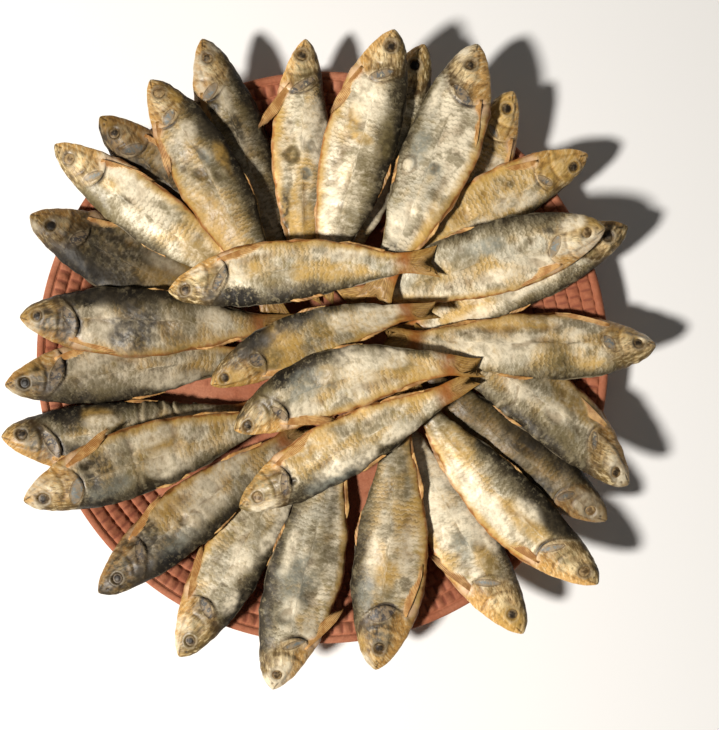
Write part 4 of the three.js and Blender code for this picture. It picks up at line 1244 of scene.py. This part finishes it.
# The low fins: where each starts and ends along the body, its height in mm, its side (1 back, -1 belly),
# and the seed of its ragged edge
EDGE_FINS = ((0.44, 0.56, 1.1, 1, 500), (0.64, 0.8, 0.9, -1, 600))
FIN_AMBER = (0.42, 0.20, 0.055, 1)
FIN_GOLD = (0.68, 0.42, 0.16, 1)
FIN_GROOVE = (0.15, 0.062, 0.018, 1)
FIN_TIP = (0.17, 0.085, 0.03, 1)
FIN_NOISE = (260.0, 3.0, 0.6)
FIN_WRINKLES = (0.0004, 0.4)


def blade(x, y, z, thick, out_share, ray_share):
    """A closed thin blade round a grid of points, thick above and below it."""
    rows, columns = out_share.shape
    grids = [np.stack([x, y, z + lift], axis=-1).reshape(-1, 3) for lift in (thick, -thick)]
    points = np.vstack(grids)
    below = rows * columns
    faces = []
    for row in range(rows - 1):
        for k in range(columns - 1):
            a, b = row * columns + k, row * columns + k + 1
            c, d = b + columns, a + columns
            faces.append((a, b, c, d))
            faces.append((below + d, below + c, below + b, below + a))
    rim = [row * columns for row in range(rows)]
    rim += [(rows - 1) * columns + k for k in range(1, columns)]
    rim += [row * columns + columns - 1 for row in range(rows - 2, -1, -1)]
    rim += [k for k in range(columns - 2, 0, -1)]
    for a, b in zip(rim, rim[1:] + rim[:1]):
        faces.append((a, b, below + b, below + a))
    marks = {"fin_out": np.tile(out_share.ravel(), 2), "fin_ray": np.tile(ray_share.ravel(), 2)}
    return points, facing_out(points, faces), marks


def pectoral_fin(fish):
    root_place = np.array((fish.gill_along - 1) / fish.length)
    root = skin_points(fish, root_place, np.array(fish.belly * math.pi * FIN_ROOT_TURN))
    draw = np.random.default_rng(301 + fish.number * 2)
    ends = 1 - FIN_RAGGEDNESS * draw.random(FIN_COLUMNS)
    from_front = np.linspace(0, 1, FIN_COLUMNS)
    out_share, ray_share = np.meshgrid(np.linspace(0, 1, FIN_STEPS), from_front, indexing="ij")
    reach = (ends * (1 - FIN_REAR_SHORTER * from_front ** 2))[None, :]
    back = (FIN_LENGTH + FIN_HIDDEN_ROOT) * out_share * reach - FIN_HIDDEN_ROOT
    opening = np.sin(np.minimum(out_share * 1.25, 1) * math.pi / 2)
    half_width = (FIN_ROOT_WIDTH + (FIN_WIDTH - FIN_ROOT_WIDTH) * opening) / 2
    half_width = half_width * (1 - FIN_TIP_NARROWER * step(0.75, 1, out_share))
    out = (1 - 2 * ray_share) * half_width + FIN_FORWARD
    angle = math.radians(fish.fin)
    x = root[0] + back * math.cos(angle) - out * math.sin(angle)
    y = root[1] + fish.belly * (back * math.sin(angle) + out * math.cos(angle))
    droop = FIN_DROOP * np.maximum(back, 0) / FIN_LENGTH
    ridge = FIN_RAY_RISE * np.cos(ray_share * FIN_RAYS * 2 * math.pi)
    z = root[2] + ridge - droop - FIN_SUNK
    thick = FIN_THICKNESS - FIN_THINNING * out_share
    return blade(x, y, z, thick, out_share, ray_share * FIN_RAYS)


def edge_fin(fish, start, end, height, side, seed):
    """A low fin that stands on the back or the belly and lies back towards the tail."""
    draw = np.random.default_rng(seed + fish.number)
    share = np.linspace(0, 1, EDGE_FIN_COLUMNS)
    turn = np.full(EDGE_FIN_COLUMNS, 0.0 if side > 0 else math.pi)
    base = skin_points(fish, np.linspace(start, end, EDGE_FIN_COLUMNS), turn)
    ragged = 1 - EDGE_FIN_RAGGEDNESS * draw.random(EDGE_FIN_COLUMNS)
    tall = height * np.minimum(share * 8, 1) * (1 - 0.7 * share) * ragged
    out_share, ray_share = np.meshgrid(np.linspace(0, 1, EDGE_FIN_STEPS), share, indexing="ij")
    x = base[:, 0] + out_share * (tall * EDGE_FIN_LEAN + 1)
    y = base[:, 1] - side * fish.belly * (out_share * (tall + EDGE_FIN_ROOT) - EDGE_FIN_ROOT)
    z = base[:, 2] + 0.08 * np.cos(ray_share * 40)
    thick = EDGE_FIN_THICKNESS - EDGE_FIN_THINNING * out_share
    return blade(x, y, z, thick, out_share, ray_share)


def dried_fin():
    fin = Finish("dried_fin", roughness=0.5, specular=0.4)
    rays = fin.mark("fin_ray")
    out = fin.mark("fin_out")
    cloudy = fin.noise(fin.place(), *FIN_NOISE)
    ridge = fin.math("COSINE", fin.times(rays, 2 * math.pi))
    colour = fin.over(fin.ramp(cloudy, 0.36, 0.64), FIN_AMBER, FIN_GOLD)
    colour = fin.over(fin.ramp(ridge, 0.3, -1.0, 0, 0.65), colour, FIN_GROOVE)
    fin.feed("Base Color", fin.over(fin.ramp(out, 0.75, 1.0, 0, 0.55), colour, FIN_TIP))
    fin.feed("Normal", fin.bumped(cloudy, *FIN_WRINKLES))
    return fin.material


# The whole pile: each fish is one piece of body, eyes and fins. It is laid where its solid lies, at rest on
# the plate and on its neighbours, and nothing fixes it there.
SKIN, EYE, FIN = range(3)
PART_MARKS = SKIN_MARKS + ("eye_share", "fin_out", "fin_ray")
fish_materials = [dried_skin(), dried_eye(), dried_fin()]

for number, name in enumerate(FISH, start=1):
    fish = Fish(name, number)
    parts = [(SKIN, body_mesh(fish)), (EYE, eye_mesh(fish, 1)), (EYE, eye_mesh(fish, -1))]
    parts.append((FIN, pectoral_fin(fish)))
    parts += [(FIN, edge_fin(fish, *low_fin)) for low_fin in EDGE_FINS]
    points, faces, kinds = [], [], []
    marks = {mark: [] for mark in PART_MARKS + ("skin_place",)}
    total = 0
    for kind, (part_points, part_faces, part_marks) in parts:
        count = len(part_points)
        points.append(part_points)
        faces += [tuple(corner + total for corner in face) for face in part_faces]
        kinds += [kind] * len(part_faces)
        for mark in PART_MARKS:
            marks[mark].append(part_marks.get(mark, np.zeros(count)))
        marks["skin_place"].append(part_marks.get("skin_place", np.zeros((count, 3))))
        total += count
    marks = {mark: np.concatenate(values) for mark, values in marks.items()}
    for tone in FISH_TONES:
        marks[tone] = np.full(total, getattr(fish, tone))
    placed = fish.in_place(np.vstack(points))
    body = make_object("dried_" + name, placed, faces, fish_materials, kinds, marks)
    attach(body, "root")
    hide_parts(name)

# The table under the plate: a plain pale surface, and the soft light of a studio, with the main light to
# the lower left of the plate.
TABLE_SIZE = 6
TABLE_DROP = 0.0002
TABLE_GREY = (0.86, 0.86, 0.86, 1)
bpy.ops.mesh.primitive_plane_add(size=TABLE_SIZE, location=(0, 0, -TABLE_DROP))
table = bpy.context.active_object
table.name = "pale_table"
paint = Finish("pale_table_paint", roughness=0.9, specular=0.2)
paint.shader.inputs["Base Color"].default_value = TABLE_GREY
table.data.materials.append(paint.material)

# Each light: its place and its size across in metres, its power in watts and its colour
LIGHTS = {
    "main_light": ((-0.80, -0.37, 1.05), 0.2, 29.4, (1, 0.955, 0.89)),
    "fill_light": ((0.7, 0.8, 1.0), 1.2, 0.9, (1, 0.96, 0.90)),
}
SURROUNDING_COLOUR = (1.0, 0.96, 0.90, 1)
SURROUNDING_STRENGTH = 0.05

for name, (place, size, power, colour) in LIGHTS.items():
    lamp = bpy.data.lights.new(name, "AREA")
    lamp.shape = "DISK"
    lamp.size = size
    lamp.energy = power
    lamp.color = colour
    holder = bpy.data.objects.new(name, lamp)
    holder.location = place
    holder.rotation_euler = Vector(place).to_track_quat("Z", "Y").to_euler()
    bpy.context.scene.collection.objects.link(holder)

world = bpy.data.worlds.new("studio")
world.use_nodes = True
world.node_tree.nodes["Background"].inputs["Color"].default_value = SURROUNDING_COLOUR
world.node_tree.nodes["Background"].inputs["Strength"].default_value = SURROUNDING_STRENGTH
bpy.context.scene.world = world
bpy.context.scene.view_settings.view_transform = "Standard"

# The camera looks straight down from just right of the middle of the plate, as the photograph does.
CAMERA_PLACE = (0.0161, -0.0033, 0.400)
SENSOR = 36
WIDTH_SHOWN_AT_FISH = 0.3133
FISH_BELOW_CAMERA = 0.382
camera_data = bpy.data.cameras.new("camera")
camera_data.sensor_fit = "HORIZONTAL"
camera_data.sensor_width = SENSOR
camera_data.lens = SENSOR * FISH_BELOW_CAMERA / WIDTH_SHOWN_AT_FISH
camera_data.clip_start = 0.01
camera = bpy.data.objects.new("camera", camera_data)
camera.location = CAMERA_PLACE
bpy.context.scene.collection.objects.link(camera)
bpy.context.scene.camera = camera
